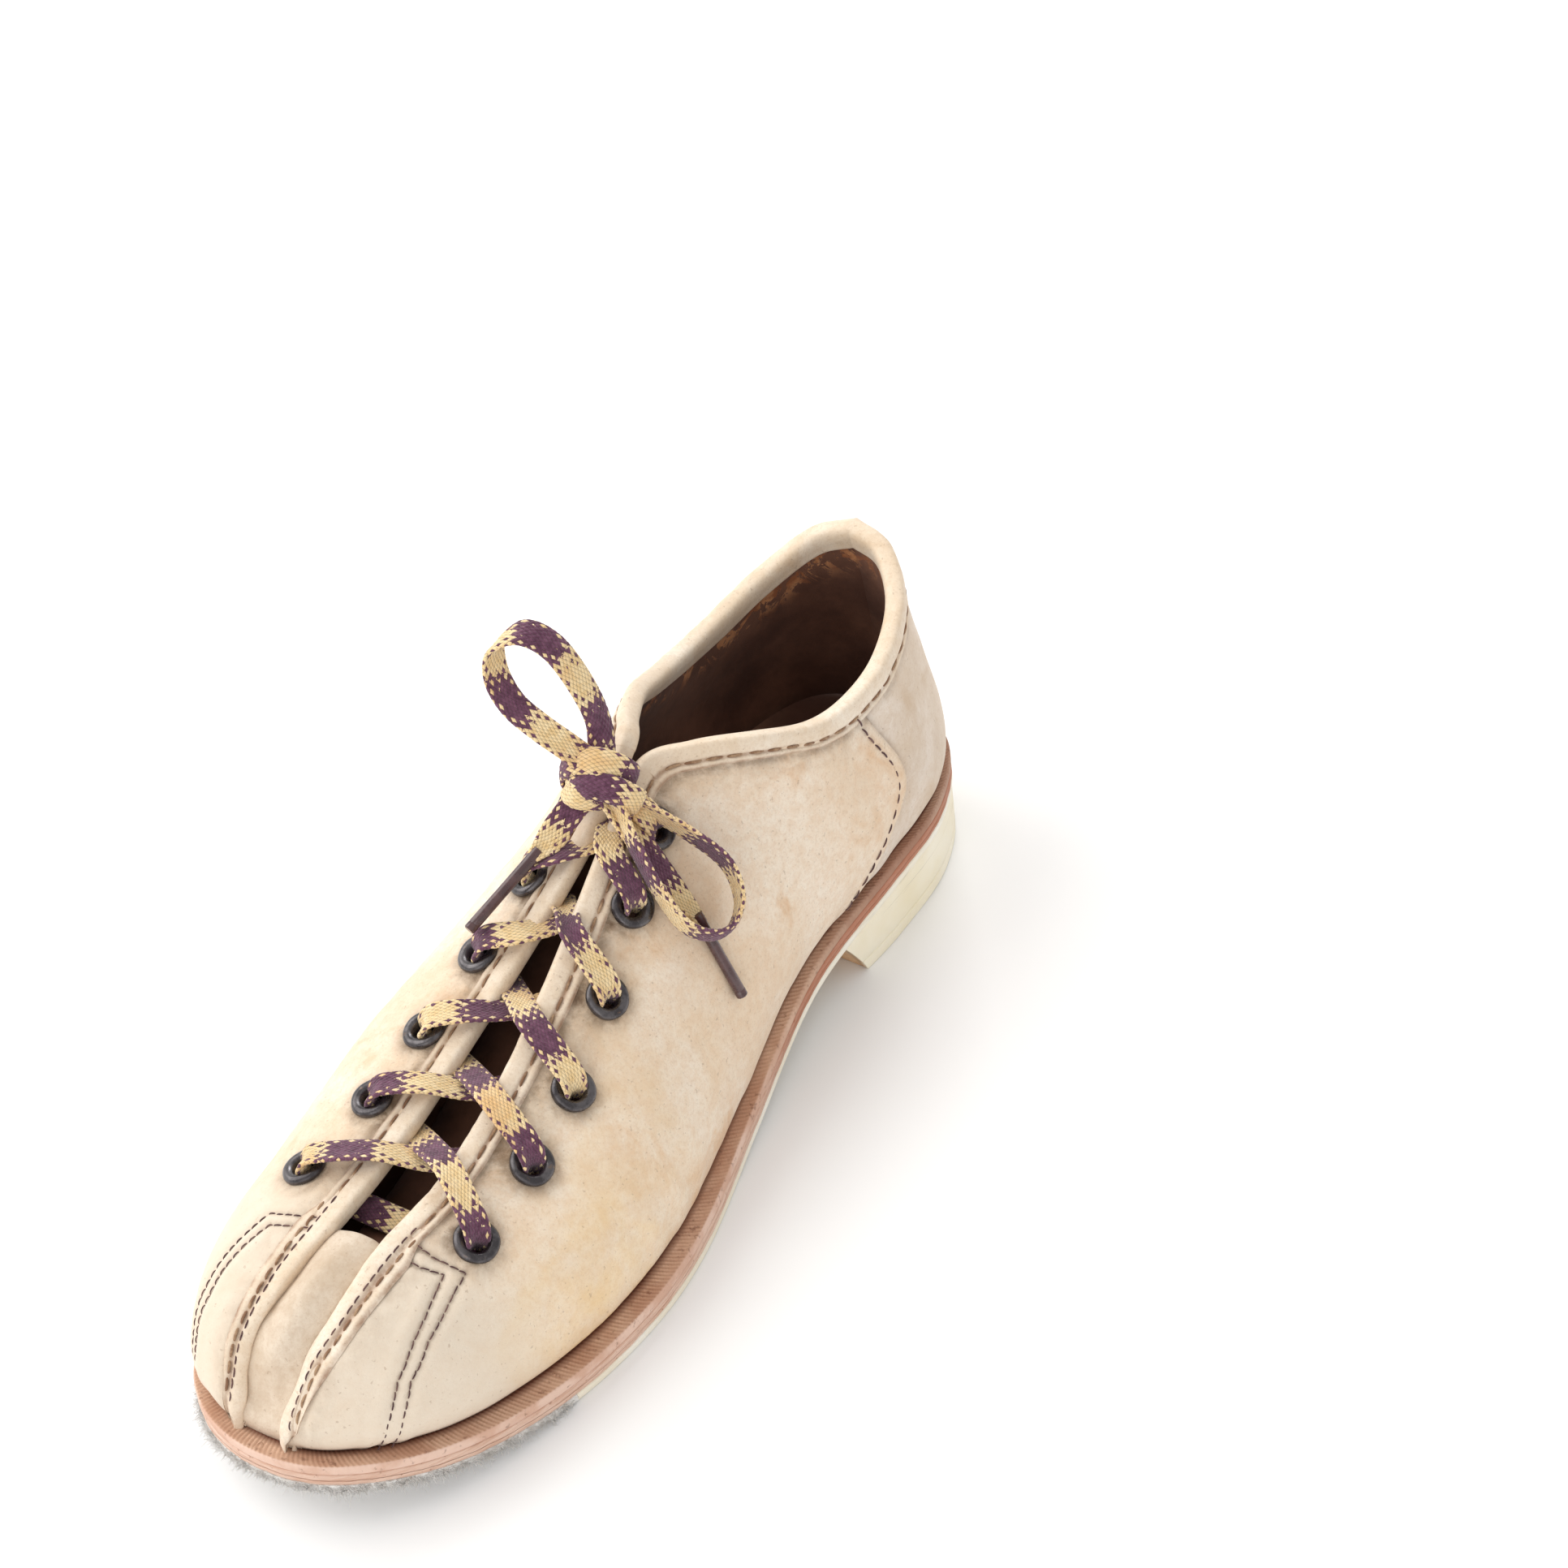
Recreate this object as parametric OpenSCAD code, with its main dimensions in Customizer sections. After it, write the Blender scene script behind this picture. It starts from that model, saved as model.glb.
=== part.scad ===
// Lace-to-toe bowling shoe for the left foot, standing on its heel and the ball of its sole.
// The toe points to -Y, the outer side is +X and the floor is z = 0.

/* [Size] */
// Length of the outsole from toe to heel
shoe_length = 282; // [270:1:300]

/* [Sole] */
// Thickness of the suede slide sole and of the rubber sole behind it
slide_t = 2.5; // [2:0.1:3.5]
// Thickness of the leather midsole
midsole_t = 3.5; // [3:0.1:4.5]
// Thickness of the welt and of the cork filler inside it
welt_t = 3; // [2.5:0.1:4]
// Height of the heel at its back, top piece included
heel_h = 17; // [14:0.5:20]
// Thickness of the heel's top piece
top_piece_t = 4; // [3:0.5:6]
// Rise of the toe above the floor
toe_spring = 11; // [7:0.5:14]

/* [Upper] */
// Thickness of the outer leather
leather_t = 1.5; // [1.2:0.1:1.7]
// Thickness of the stays, counter and toe puff between leather and lining
stay_t = 0.9; // [0.5:0.1:1]
// Thickness of the lining
lining_t = 1; // [0.8:0.1:1.2]
// Depth of the binding, measured from the edge it covers
binding_w = 4.5; // [3:0.1:5]

/* [Lacing] */
// Outer diameter of an eyelet's rolled rim
eyelet_d = 11; // [9:0.5:11.5]
// Diameter of the hole through an eyelet
eyelet_bore = 5.2; // [4.6:0.1:5.6]
// Width of the flat lace
lace_w = 7.2; // [5:0.1:8]
// Thickness of the flat lace
lace_t = 1.7; // [1.2:0.1:2]
// Diameter of an aglet
aglet_d = 2.8; // [2.4:0.1:3.4]

/* [Hidden] */
SIDES = ["lateral", "medial"];
EYELETS = 6;

k = shoe_length / 282;             // every place on the last follows the length
gap = 0.1;                         // clearance between layers that lie on each other
sole_t = slide_t + midsole_t + welt_t;
stay_depth = leather_t + gap;      // how deep the stays lie below the outside
lining_depth = stay_depth + stay_t + gap;
upper_t = lining_depth + lining_t; // whole thickness of the upper

// ---- Outline of the sole: toe tip, round the outer side to the heel, back by the inner side ----
SOLE = k * [
    [-6, -141], [12, -137], [29, -119.5], [40.5, -94], [47.5, -63], [47.5, -34], [39.5, 6], [34, 46],
    [37, 84], [36, 112], [25.5, 134], [5, 141], [-15.5, 134], [-26, 112], [-27, 84], [-27.5, 46],
    [-35, 6], [-45, -34], [-48, -63], [-47.5, -94], [-38.5, -120], [-24, -135]];
SOLE_POINTS = len(SOLE);
// How far the foot of the upper stands in from the edge of the sole, at each outline point
INSET = [5, 5, 5, 5, 5, 5, 4, 3, 2, 1.5, 1.5, 1.5, 1.5, 1.5, 2, 3, 4, 5, 5, 5, 5, 5, 5];

ball_y = -75 * k;                  // the sole lies flat from here to waist_y
toe_y = -141 * k;
waist_y = -17 * k;
seat_y = 93 * k;                   // the heel seat is level behind here
slide_end_y = -84 * k;             // the suede ends and the rubber begins
breast_y = [62, 70] * k;           // heel breast at its top and at its bottom

function smooth(t) = let (c = min(max(t, 0), 1)) c * c * (3 - 2 * c);
function unit(v) = v / norm(v);
function spline(a, b, c, d, t) =
    0.5 * (2 * b + (c - a) * t + (2 * a - 5 * b + 4 * c - d) * t * t + (3 * b - a - 3 * c + d) * t * t * t);
// Point on an open smooth curve through list, u from 0 to 1
function along(list, u) =
    let (n = len(list) - 1, x = min(max(u, 0), 1) * n, i = min(floor(x), n - 1),
         before = i > 0 ? list[i - 1] : 2 * list[0] - list[1],
         after = i + 2 <= n ? list[i + 2] : 2 * list[n] - list[n - 1])
    spline(before, list[i], list[i + 1], after, x - i);
function outline(s) =
    let (i = floor(s), n = SOLE_POINTS)
    spline(SOLE[(i + n - 1) % n], SOLE[i % n], SOLE[(i + 1) % n], SOLE[(i + 2) % n], s - i);
function outward(s) = let (d = unit(outline(s + 0.05) - outline(s - 0.05 + SOLE_POINTS))) [d.y, -d.x];
function feather_inset(s) = along(INSET, s / SOLE_POINTS);
// Height of the underside of the sole layers at y
function base_z(y) =
    y < ball_y ? toe_spring * pow((ball_y - y) / (ball_y - toe_y), 2)
               : heel_h * smooth((y - waist_y) / (seat_y - waist_y));

OUTLINE_STEPS = 5;
// The sole's outline drawn in by `inset`, or drawn in to the foot of the upper and `inset` more
module sole_shape(inset, from_feather = false) {
    polygon([for (i = [0:SOLE_POINTS * OUTLINE_STEPS - 1])
        let (s = i / OUTLINE_STEPS, in_by = inset + (from_feather ? feather_inset(s) : 0))
        outline(s) - in_by * outward(s)]);
}

// Side profile between two heights above the underside, from y0 to y1, drawn out across the shoe
// All layers bend at the same places, so that they lie face to face
BENDS = k * [for (y = [-150:6:150]) y];
module side_band(z0, z1, y0 = -150 * k, y1 = 150 * k) {
    ys = concat([y0], [for (y = BENDS) if (y > y0 + 0.1 && y < y1 - 0.1) y], [y1]);
    steps = len(ys) - 1;
    rotate([90, 0, 90]) translate([0, 0, -80 * k]) linear_extrude(160 * k)
        polygon(concat([for (y = ys) [y, base_z(y) + z0]],
                       [for (i = [steps:-1:0]) [ys[i], base_z(ys[i]) + z1]]));
}

module sole_layer(z0, z1, inset = 0, from_feather = false, y0 = -150 * k, y1 = 150 * k) {
    intersection() {
        linear_extrude(80) sole_shape(inset, from_feather);
        side_band(z0, z1, y0, y1);
    }
}

// ---- Sole ----
NAIL_D = 2.4;
NAIL_BOTTOM = 7;
NAILS = k * [[5, 128], [-12, 118], [22, 118], [-14, 92], [24, 92]];
module nail_holes() for (p = NAILS) translate([p.x, p.y, NAIL_BOTTOM]) cylinder(h = 60, d = NAIL_D, $fn = 24);

module slide_sole() { color("lightgray") sole_layer(0, slide_t, y1 = slide_end_y); }
module rubber_sole() {
    color("ivory") difference() {
        sole_layer(0, slide_t, y0 = slide_end_y);
        nail_holes();
    }
}
module midsole() {
    color("bisque") difference() {
        sole_layer(slide_t, slide_t + midsole_t);
        nail_holes();
    }
}
WELT_W = 5;   // how far the welt reaches in under the upper
module welt() {
    color("sienna") difference() {
        sole_layer(slide_t + midsole_t, sole_t);
        linear_extrude(80) sole_shape(WELT_W, true);
    }
}
SHANK = [14 * k, 96 * k, 1.2];   // steel strip under the arch
module shank_blank(clear) {
    intersection() {
        translate([3 * k - SHANK.x / 2 - clear, -30 * k - clear, 0])
            cube([SHANK.x + 2 * clear, SHANK.y + 2 * clear, 60]);
        side_band(slide_t + midsole_t, slide_t + midsole_t + SHANK.z + clear);
    }
}
module shank() { color("silver") shank_blank(0); }
module cork_filler() {
    color("peru") difference() {
        sole_layer(slide_t + midsole_t, sole_t, WELT_W + gap, true);
        shank_blank(0.2);
        nail_holes();
    }
}
module heel_shape(z0, z1) {
    front_y = function(z) breast_y[1] + (breast_y[0] - breast_y[1]) * z / heel_h;
    intersection() {
        linear_extrude(60) sole_shape(0.3);
        rotate([90, 0, 90]) translate([0, 0, -80 * k]) linear_extrude(160 * k)
            polygon(concat([[150 * k, z0], [front_y(z0), z0]],
                z1 < heel_h ? [[front_y(z1), z1], [150 * k, z1]]
                : concat([for (y = concat([breast_y[0]], [for (y = BENDS) if (y > breast_y[0] + 0.1) y]))
                    [y, base_z(y) - gap]])));
    }
}
module heel_block() {
    color("ivory") difference() {
        heel_shape(top_piece_t, heel_h);
        nail_holes();
    }
}
module heel_top_piece() { color("oldlace") heel_shape(0, top_piece_t); }
module heel_nails() {
    color("silver") for (p = NAILS) translate([p.x, p.y, NAIL_BOTTOM])
        cylinder(h = heel_h + slide_t + midsole_t - NAIL_BOTTOM, d = NAIL_D, $fn = 24);
}
INSOLE_T = 2.5;
module insole() { color("saddlebrown") sole_layer(sole_t + gap, sole_t + INSOLE_T, upper_t + 0.7, true); }
module sock_liner() {
    color("maroon") sole_layer(sole_t + INSOLE_T, sole_t + INSOLE_T + 1, upper_t + 1.5, true, y0 = -12 * k);
}

// ---- Upper: each side is one smooth sheet from its foot on the welt to its top edge ----
// Top edge from the toe up the facing to the throat, then round the collar to the back
TOP_LATERAL = k * [
    [0.5, -135.9, 21], [1.5, -124, 36], [4, -115, 43], [5.2, -105, 47], [5.8, -94, 48.5], [8.5, -77, 50.5],
    [8.5, -60, 53.5], [7.5, -42, 58], [6, -22, 65], [4.5, -2, 74], [3.5, 16, 83], [4, 31, 91], [12, 41, 91],
    [22, 54, 87], [28.5, 70, 80], [30.8, 86, 77.5], [30.5, 102, 79], [26, 118, 84], [16, 130, 89],
    [5, 133.5, 91]];
TOP_MEDIAL = k * [
    [-14, -134.8, 20.5], [-13.5, -126, 36], [-12, -118, 43], [-11, -106, 46.5], [-9.5, -94, 48.5],
    [-8.5, -79, 50], [-8, -62, 52.5], [-7.5, -44, 57], [-6.5, -25, 63], [-5, -5, 71], [-3.5, 14, 81],
    [-2.5, 32, 95], [-8, 42, 95], [-14, 54, 91], [-18.5, 68, 83.5], [-21, 84, 78], [-21, 100, 76],
    [-16, 116, 80.5], [-6, 128.5, 88], [5, 133.5, 91]];
// Eight sections from toe to back: outline place, how far the foot swells out and rises,
// and how far the top edge leaves outward and down
SECTIONS_LATERAL = [
    [0.35, 0.3, 0.6, 0.3, 0.3], [2.1, 2, 20, 14, 1], [3.8, 5, 24, 18, 4], [5.6, 8, 26, 16, 5],
    [6.9, 14, 28, 15, 14], [8.2, 6, 25, 6, 22], [9.6, 3, 20, 3, 20], [11, 3, 25, 3, 22]];
SECTIONS_MEDIAL = [
    [21.6, 0.3, 0.6, 0.3, 0.3], [19.9, 8, 21, 19, 1], [18.2, 10, 30, 26, 0], [16.4, 15, 34, 30, 0],
    [15.1, 14, 38, 21, 11], [13.8, 8, 28, 8, 22], [12.4, 3, 22, 3, 20], [11, 3, 25, 3, 22]];
OUTER = 1;    // side marks: lateral
INNER = -1;   // and medial
function side_sign(name) = name == "lateral" ? OUTER : INNER;
function top_edge(side, u) = along(side == OUTER ? TOP_LATERAL : TOP_MEDIAL, u);
THROAT_U = 11 / 19;      // where the facing turns into the collar

function controls(side, u) =
    let (row = along(side == OUTER ? SECTIONS_LATERAL : SECTIONS_MEDIAL, u),
         n = outward(row[0]), foot = outline(row[0]) - n * feather_inset(row[0]),
         b = [foot.x, foot.y, base_z(foot.y) + sole_t + gap], t = top_edge(side, u), out = [n.x, n.y, 0])
    [b, b + k * (out * row[1] + [0, 0, row[2]]), t + k * (out * row[3] - [0, 0, row[4]]), t];
// Point on the outside of a side, u from toe to back and v from foot to top edge
function on_side(side, u, v) =
    let (c = controls(side, u), w = 1 - v)
    c[0] * pow(w, 3) + 3 * c[1] * w * w * v + 3 * c[2] * w * v * v + c[3] * pow(v, 3);
function normal(side, u, v) =
    let (e = 0.001)
    side * unit(cross(on_side(side, min(u + e, 1), v) - on_side(side, max(u - e, 0), v),
                      on_side(side, u, min(v + e, 1)) - on_side(side, u, max(v - e, 0))));
function inside(side, u, v, depth) = on_side(side, u, v) - depth * normal(side, u, v);
// The v at a distance below the top edge
function below_edge(side, u, distance) =
    let (c = controls(side, u)) 1 - min(0.6, distance / (3 * norm(c[3] - c[2])));
// The curved seam between vamp and quarter
function seam_u(v) = 0.79 - 0.15 * pow(1 - v, 3);

// Closed solid between two grids of points of the same size, flipped for the other hand
module between(outer, inner, flip = false) {
    nu = len(outer);
    nv = len(outer[0]);
    n = nu * nv;
    at = function(i, j) i * nv + j;
    quad = function(a, b, c, d) [[a, b, c], [a, c, d]];
    skin = [for (i = [0:nu - 2]) for (j = [0:nv - 2])
        each quad(at(i, j), at(i, j + 1), at(i + 1, j + 1), at(i + 1, j))];
    back = [for (f = skin) [f[2] + n, f[1] + n, f[0] + n]];
    ends = [for (j = [0:nv - 2]) each concat(
        quad(at(0, j), at(0, j) + n, at(0, j + 1) + n, at(0, j + 1)),
        quad(at(nu - 1, j + 1), at(nu - 1, j + 1) + n, at(nu - 1, j) + n, at(nu - 1, j)))];
    sides = [for (i = [0:nu - 2]) each concat(
        quad(at(i + 1, 0), at(i + 1, 0) + n, at(i, 0) + n, at(i, 0)),
        quad(at(i, nv - 1), at(i, nv - 1) + n, at(i + 1, nv - 1) + n, at(i + 1, nv - 1)))];
    faces = concat(skin, back, ends, sides);
    polyhedron([for (row = outer) each row, for (row = inner) each row],
        flip ? [for (f = faces) [f[2], f[1], f[0]]] : faces);
}

// Part of a side between two depths; place(a, b) gives [u, v] for a and b from 0 to 1
module side_panel(side, d0, d1, nu, nv, place) {
    grid = function(d) [for (i = [0:nu]) [for (j = [0:nv])
        let (p = place(i / nu, j / nv)) inside(side, p[0], p[1], d)]];
    between(grid(d0), grid(d1), side == INNER);
}
// The same, wrapped round the back from u0 on the lateral side to u0 on the medial side
module back_panel(u0, v0, v1, d0, d1, nu, nv) {
    grid = function(d) [for (i = [-nu:nu]) let (u = u0 + (1 - u0) * (1 - abs(i) / nu)) [for (j = [0:nv])
        inside(i <= 0 ? OUTER : INNER, u, v0 + (v1(u) - v0) * j / nv, d)]];
    between(grid(d0), grid(d1));
}

EYELET_U = [0.25, 0.316, 0.372, 0.43, 0.487, 0.542];
EYELET_V_LATERAL = [0.72, 0.74, 0.74, 0.77, 0.82, 0.86];
EYELET_V_MEDIAL = [0.76, 0.84, 0.87, 0.88, 0.88, 0.87];
function eyelet_v(side, i) = (side == OUTER ? EYELET_V_LATERAL : EYELET_V_MEDIAL)[i];
function eyelet_at(side, i) = on_side(side, EYELET_U[i], eyelet_v(side, i));
function eyelet_normal(side, i) = normal(side, EYELET_U[i], eyelet_v(side, i));
module at_eyelet(side, i) {
    n = eyelet_normal(side, i);
    translate(eyelet_at(side, i)) rotate([0, acos(n.z), atan2(n.y, n.x)]) children();
}
BARREL_T = 0.5;
barrel_r = eyelet_bore / 2 + BARREL_T;
module eyelet_holes(side) {
    for (i = [0:EYELETS - 1])
        at_eyelet(side, i) translate([0, 0, -8]) cylinder(h = 16, r = barrel_r, $fn = 32);
}

SEWN_GAP = 0.5;   // between a panel's edge and the binding sewn along it
module vamp(side) {
    color("wheat") difference() {
        side_panel(side, 0, leather_t, 26, 11, function(a, b)
            let (v = b * below_edge(side, a * 0.78, binding_w + SEWN_GAP)) [a * seam_u(v), v]);
        eyelet_holes(side);
    }
}
module quarter(side) {
    color("linen") side_panel(side, 0, leather_t, 12, 9, function(a, b)
        let (v = b * below_edge(side, 0.9, binding_w + SEWN_GAP), u0 = seam_u(v) + 0.003)
        [u0 + (0.998 - u0) * a, v]);
}
LINING_TOE_U = 0.22;   // ahead of here the lining stops short of the toe plug
module lining(side) {
    color("saddlebrown") difference() {
        side_panel(side, lining_depth, upper_t, 32, 9, function(a, b)
            let (u = 0.02 + 0.976 * a, short = 8 * (1 - smooth((u - LINING_TOE_U + 0.02) / 0.03)))
            [u, 0.02 + b * (below_edge(side, u, binding_w + SEWN_GAP + short) - 0.02)]);
        eyelet_holes(side);
    }
}
module eyelet_stay(side) {
    color("burlywood") difference() {
        side_panel(side, stay_depth + gap, stay_depth + stay_t - gap, 18, 4, function(a, b)
            let (u = 0.225 + 0.345 * a) [u, below_edge(side, u, 25 - 20 * b)]);
        eyelet_holes(side);
    }
}
module toe_puff() {
    color("burlywood") for (side = [OUTER, INNER])
        side_panel(side, stay_depth + 2 * gap, stay_depth + stay_t - 2 * gap, 10, 6, function(a, b)
            let (u = 0.055 + 0.09 * a) [u, 0.05 + b * (below_edge(side, u, 17) - 0.05)]);
}
module heel_counter() {
    color("burlywood") back_panel(0.84, 0.03, function(u) 0.62 + 0.1 * (u - 0.84) / 0.16,
        stay_depth + 2 * gap, stay_depth + stay_t - 2 * gap, 10, 7);
}
BACK_STRIP_T = 1;
module back_strip() {
    color("linen") back_panel(0.975, 0.02, function(u) below_edge(OUTER, u, binding_w + gap),
        -BACK_STRIP_T - gap, -gap, 2, 8);
}
// Toe plug: its edges lie under both vamps and its middle swells up between them
PLUG_REAR_U = 0.205;
PLUG_T = 1.5;
module toe_plug() {
    nu = 10;
    tuck = 4.5;
    grid = function(sink) [for (i = [0:nu]) let (u = 0.015 + (PLUG_REAR_U - 0.015) * i / nu,
        edges = [for (side = [INNER, OUTER])
            [inside(side, u, below_edge(side, u, tuck), stay_depth), inside(side, u, 1, stay_depth)]],
        up = unit(normal(INNER, u, 0.99) + normal(OUTER, u, 0.99)),
        middle = (edges[0][1] + edges[1][1]) / 2 + up * 1.6 * smooth(4 * i / nu))
        [for (j = [0:6])
            along([edges[0][0], edges[0][1], middle, edges[1][1], edges[1][0]], j / 6) - up * sink]];
    color("wheat") between(grid(0), grid(PLUG_T));
}

// Section of a binding folded round an upper of thickness WRAPPED_T:
// [outward of the leather's face, below the edge]
WRAPPED_T = 3.7;
BINDING = [[0.9, 1.6], [0.9, -0.2], [0.1, -1.2], [-1.8, -1.6], [-3.8, -1.2], [-4.5, -0.2], [-4.5, 1.6]];
function binding_ring(side, u) =
    let (t = top_edge(side, u), n = normal(side, u, 0.999), d = unit(on_side(side, u, 0.96) - t),
         w = min(binding_w, 3 + 60 * u))
    [for (p = concat([[0.9, w]], BINDING, [[-4.5, w]])) t + n * p.x * upper_t / WRAPPED_T + d * p.y];
// Solid skinned over a list of rings of points
module skinned(rings, flip = false) {
    n = len(rings[0]);
    m = len(rings);
    walls = [for (i = [0:m - 2]) for (j = [0:n - 1]) let (a = i * n + j, b = i * n + (j + 1) % n)
        each [[a, b, b + n], [a, b + n, a + n]]];
    caps = [for (j = [1:n - 2]) each [[0, j + 1, j], [(m - 1) * n, (m - 1) * n + j, (m - 1) * n + j + 1]]];
    faces = concat(walls, caps);
    polyhedron([for (r = rings) each r], flip ? [for (f = faces) [f[2], f[1], f[0]]] : faces);
}
module facing_binding(side) {
    color("antiquewhite") skinned([for (i = [0:30]) binding_ring(side, 0.008 + (THROAT_U - 0.014) * i / 30)],
        side == INNER);
}
module collar_binding() {
    steps = 18;
    u0 = THROAT_U + 0.006;
    color("antiquewhite") skinned([for (i = [-steps:steps])
        binding_ring(i <= 0 ? OUTER : INNER, u0 + (1 - u0) * (1 - abs(i) / steps))]);
}

// Tongue: an arched sheet under the throat, stitched at its front end
TONGUE_X = -2 * k;
TONGUE = k * [[-93, 38, 8], [-78, 36, 10], [-60, 36, 12], [-40, 40, 14], [-20, 46, 15], [0, 53, 16],
              [20, 62, 16], [38, 71, 14]];   // y, height and half width
TONGUE_T = 2;
TONGUE_ARCH = 0.028 / k;
module tongue() {
    nu = 14;
    grid = function(dz) [for (i = [0:nu]) let (row = along(TONGUE, i / nu)) [for (j = [-4:4])
        let (x = row[2] * j / 4) [x + TONGUE_X, row[0], row[1] + dz - TONGUE_ARCH * x * x]]];
    color("saddlebrown") between(grid(TONGUE_T / 2), grid(-TONGUE_T / 2), true);
}

// ---- Eyelets ----
FLANGE = [1.6, 0.6];   // width and thickness of the washer at the back
module eyelet(side, i) {
    rim_w = eyelet_d / 2 - barrel_r;
    back = upper_t + gap + FLANGE.y;
    color("dimgray") at_eyelet(side, i) rotate_extrude($fn = 48) {
        intersection() {
            translate([barrel_r + rim_w / 2 - 0.1, 0.1]) circle(r = rim_w / 2 + 0.1, $fn = 32);
            translate([0, gap / 2]) square([eyelet_d, 3]);
        }
        translate([eyelet_bore / 2, -back]) square([BARREL_T - 0.02, back + 0.9]);
        translate([eyelet_bore / 2, -back]) square([BARREL_T + FLANGE.x, FLANGE.y]);
    }
}

// ---- Lace ----
FLAT = [[0.5, 0.2], [0.38, 0.5], [-0.38, 0.5], [-0.5, 0.2],
        [-0.5, -0.2], [-0.38, -0.5], [0.38, -0.5], [0.5, -0.2]];   // its section
BUNCHED = [3.6, 3];   // width and thickness of the lace where it passes an eyelet
// Flat lace along a route; sizes gives width and thickness at equal steps along it
module lace(route, wide, sizes, steps = 4) {
    m = (len(route) - 1) * steps;
    ring = function(i) let (p = along(route, i / m), s = along(sizes, i / m),
        t = unit(along(route, (i + 0.3) / m) - along(route, (i - 0.3) / m)),
        across = unit(wide - t * (wide * t)), up = cross(t, across))
        [for (q = FLAT) p + across * q.x * s.x + up * q.y * s.y];
    color("rosybrown") skinned([for (i = [0:m]) ring(i)], true);
}
full_size = [lace_w, lace_t];
STRAND_SIZES = [BUNCHED, BUNCHED, full_size, full_size, full_size, full_size, BUNCHED, BUNCHED];
LACE_WIDE = [0, 1, 0.35];
// One strand: up through eyelet i, over its facing, across the throat and under the other facing
module strand(side, i) {
    other = -side;
    p = eyelet_at(side, i);
    n = eyelet_normal(side, i);
    q = eyelet_at(other, i + 1);
    m = eyelet_normal(other, i + 1);
    over_u = EYELET_U[i] + 0.35 * (EYELET_U[i + 1] - EYELET_U[i]);
    under_u = EYELET_U[i] + 0.7 * (EYELET_U[i + 1] - EYELET_U[i]);
    over = inside(side, over_u, 0.985, -3.2 - (side == OUTER ? 0 : 1.9));
    under = inside(other, under_u, 0.97, upper_t + 1.6 + (side == OUTER ? 0 : 1.9));
    toward = unit(over - p);
    away = unit(q - under);
    lace([p - n * 2.8, p + n * 1.4, p + n * 3.2 + toward * 4.5, over, under,
          q - m * (upper_t + 2.6) - away * 4.5, q - m * (upper_t + 1.4), q - m * 3], LACE_WIDE, STRAND_SIZES);
}
module lace_cross(i) {
    strand(OUTER, i - 1);
    strand(INNER, i - 1);
}
module lace_bar() {
    p = eyelet_at(OUTER, 0);
    n = eyelet_normal(OUTER, 0);
    q = eyelet_at(INNER, 0);
    m = eyelet_normal(INNER, 0);
    down = upper_t + 2.6;
    lace([p - n * 3, p - n * (down - 1), p - n * down - [4.5, 0, 0], (p + q) / 2 - [0, 0, 5],
          q - m * down + [4.5, 0, 0], q - m * (down - 1), q - m * 3], LACE_WIDE,
        [BUNCHED, BUNCHED, full_size, full_size, full_size, BUNCHED, BUNCHED]);
}
KNOT = k * [0, 18, 95];
knot_r = 7.5;
module lace_ends() {
    for (side = [OUTER, INNER]) let (p = eyelet_at(side, EYELETS - 1), n = eyelet_normal(side, EYELETS - 1))
        lace([p - n * 2.8, p + n * 1.4, p + n * 3.6 - [side * 2, 0, 0], KNOT + [side * 5, 2, -2]], LACE_WIDE,
            [BUNCHED, BUNCHED, full_size, full_size]);
}
module bow_knot() { color("peru") translate(KNOT) scale([1.1, 0.9, 0.85]) sphere(r = knot_r, $fn = 32); }
LOOP_UPPER = k * [[0, 20, 99], [-3, 25, 106], [-6, 25, 116], [-12, 24, 127], [-19, 22, 131], [-25, 19, 127],
                  [-25, 17, 120], [-20, 15, 114], [-13, 15, 109], [-6, 16, 104], [-1, 17, 99]];
LOOP_LOWER = k * [[4, 19, 93], [11, 21, 87], [19, 24, 80], [27, 26, 72], [32, 23, 65], [33, 17, 61],
                  [31, 11, 62], [26, 7, 67], [19, 8, 75], [12, 11, 83], [5, 15, 91]];
TAIL_LATERAL = k * [[4, 16, 90], [12, 15, 79.5], [19, 14, 70.5], [26, 14, 62]];
TAIL_MEDIAL = k * [[-3, 15, 91], [-7, 10, 86], [-9, 6, 82], [-11, 1, 80]];
AGLET_LATERAL = k * [[26, 14, 62], [36, 13, 42]];
AGLET_MEDIAL = k * [[-11, 1, 80], [-17, -20, 72]];
CORD_SIZES = [full_size, full_size];
aglet_size = [aglet_d, aglet_d] * 0.8;
module bow_loop_upper() { lace(LOOP_UPPER, [0.2, 1, 0.3], CORD_SIZES, 3); }
module bow_loop_lower() { lace(LOOP_LOWER, [0.55, -0.2, 0.8], CORD_SIZES, 3); }
module lace_tail_lateral() { lace(TAIL_LATERAL, [0, 1, 0.2], [full_size, full_size, aglet_size]); }
module lace_tail_medial() { lace(TAIL_MEDIAL, [1, 0.3, -0.3], [full_size, full_size, aglet_size]); }
module aglet(ends) {
    d = ends[1] - ends[0];
    color("black") translate(ends[0]) rotate([0, acos(d.z / norm(d)), atan2(d.y, d.x)])
        cylinder(h = norm(d), d = aglet_d, $fn = 24);
}

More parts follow.
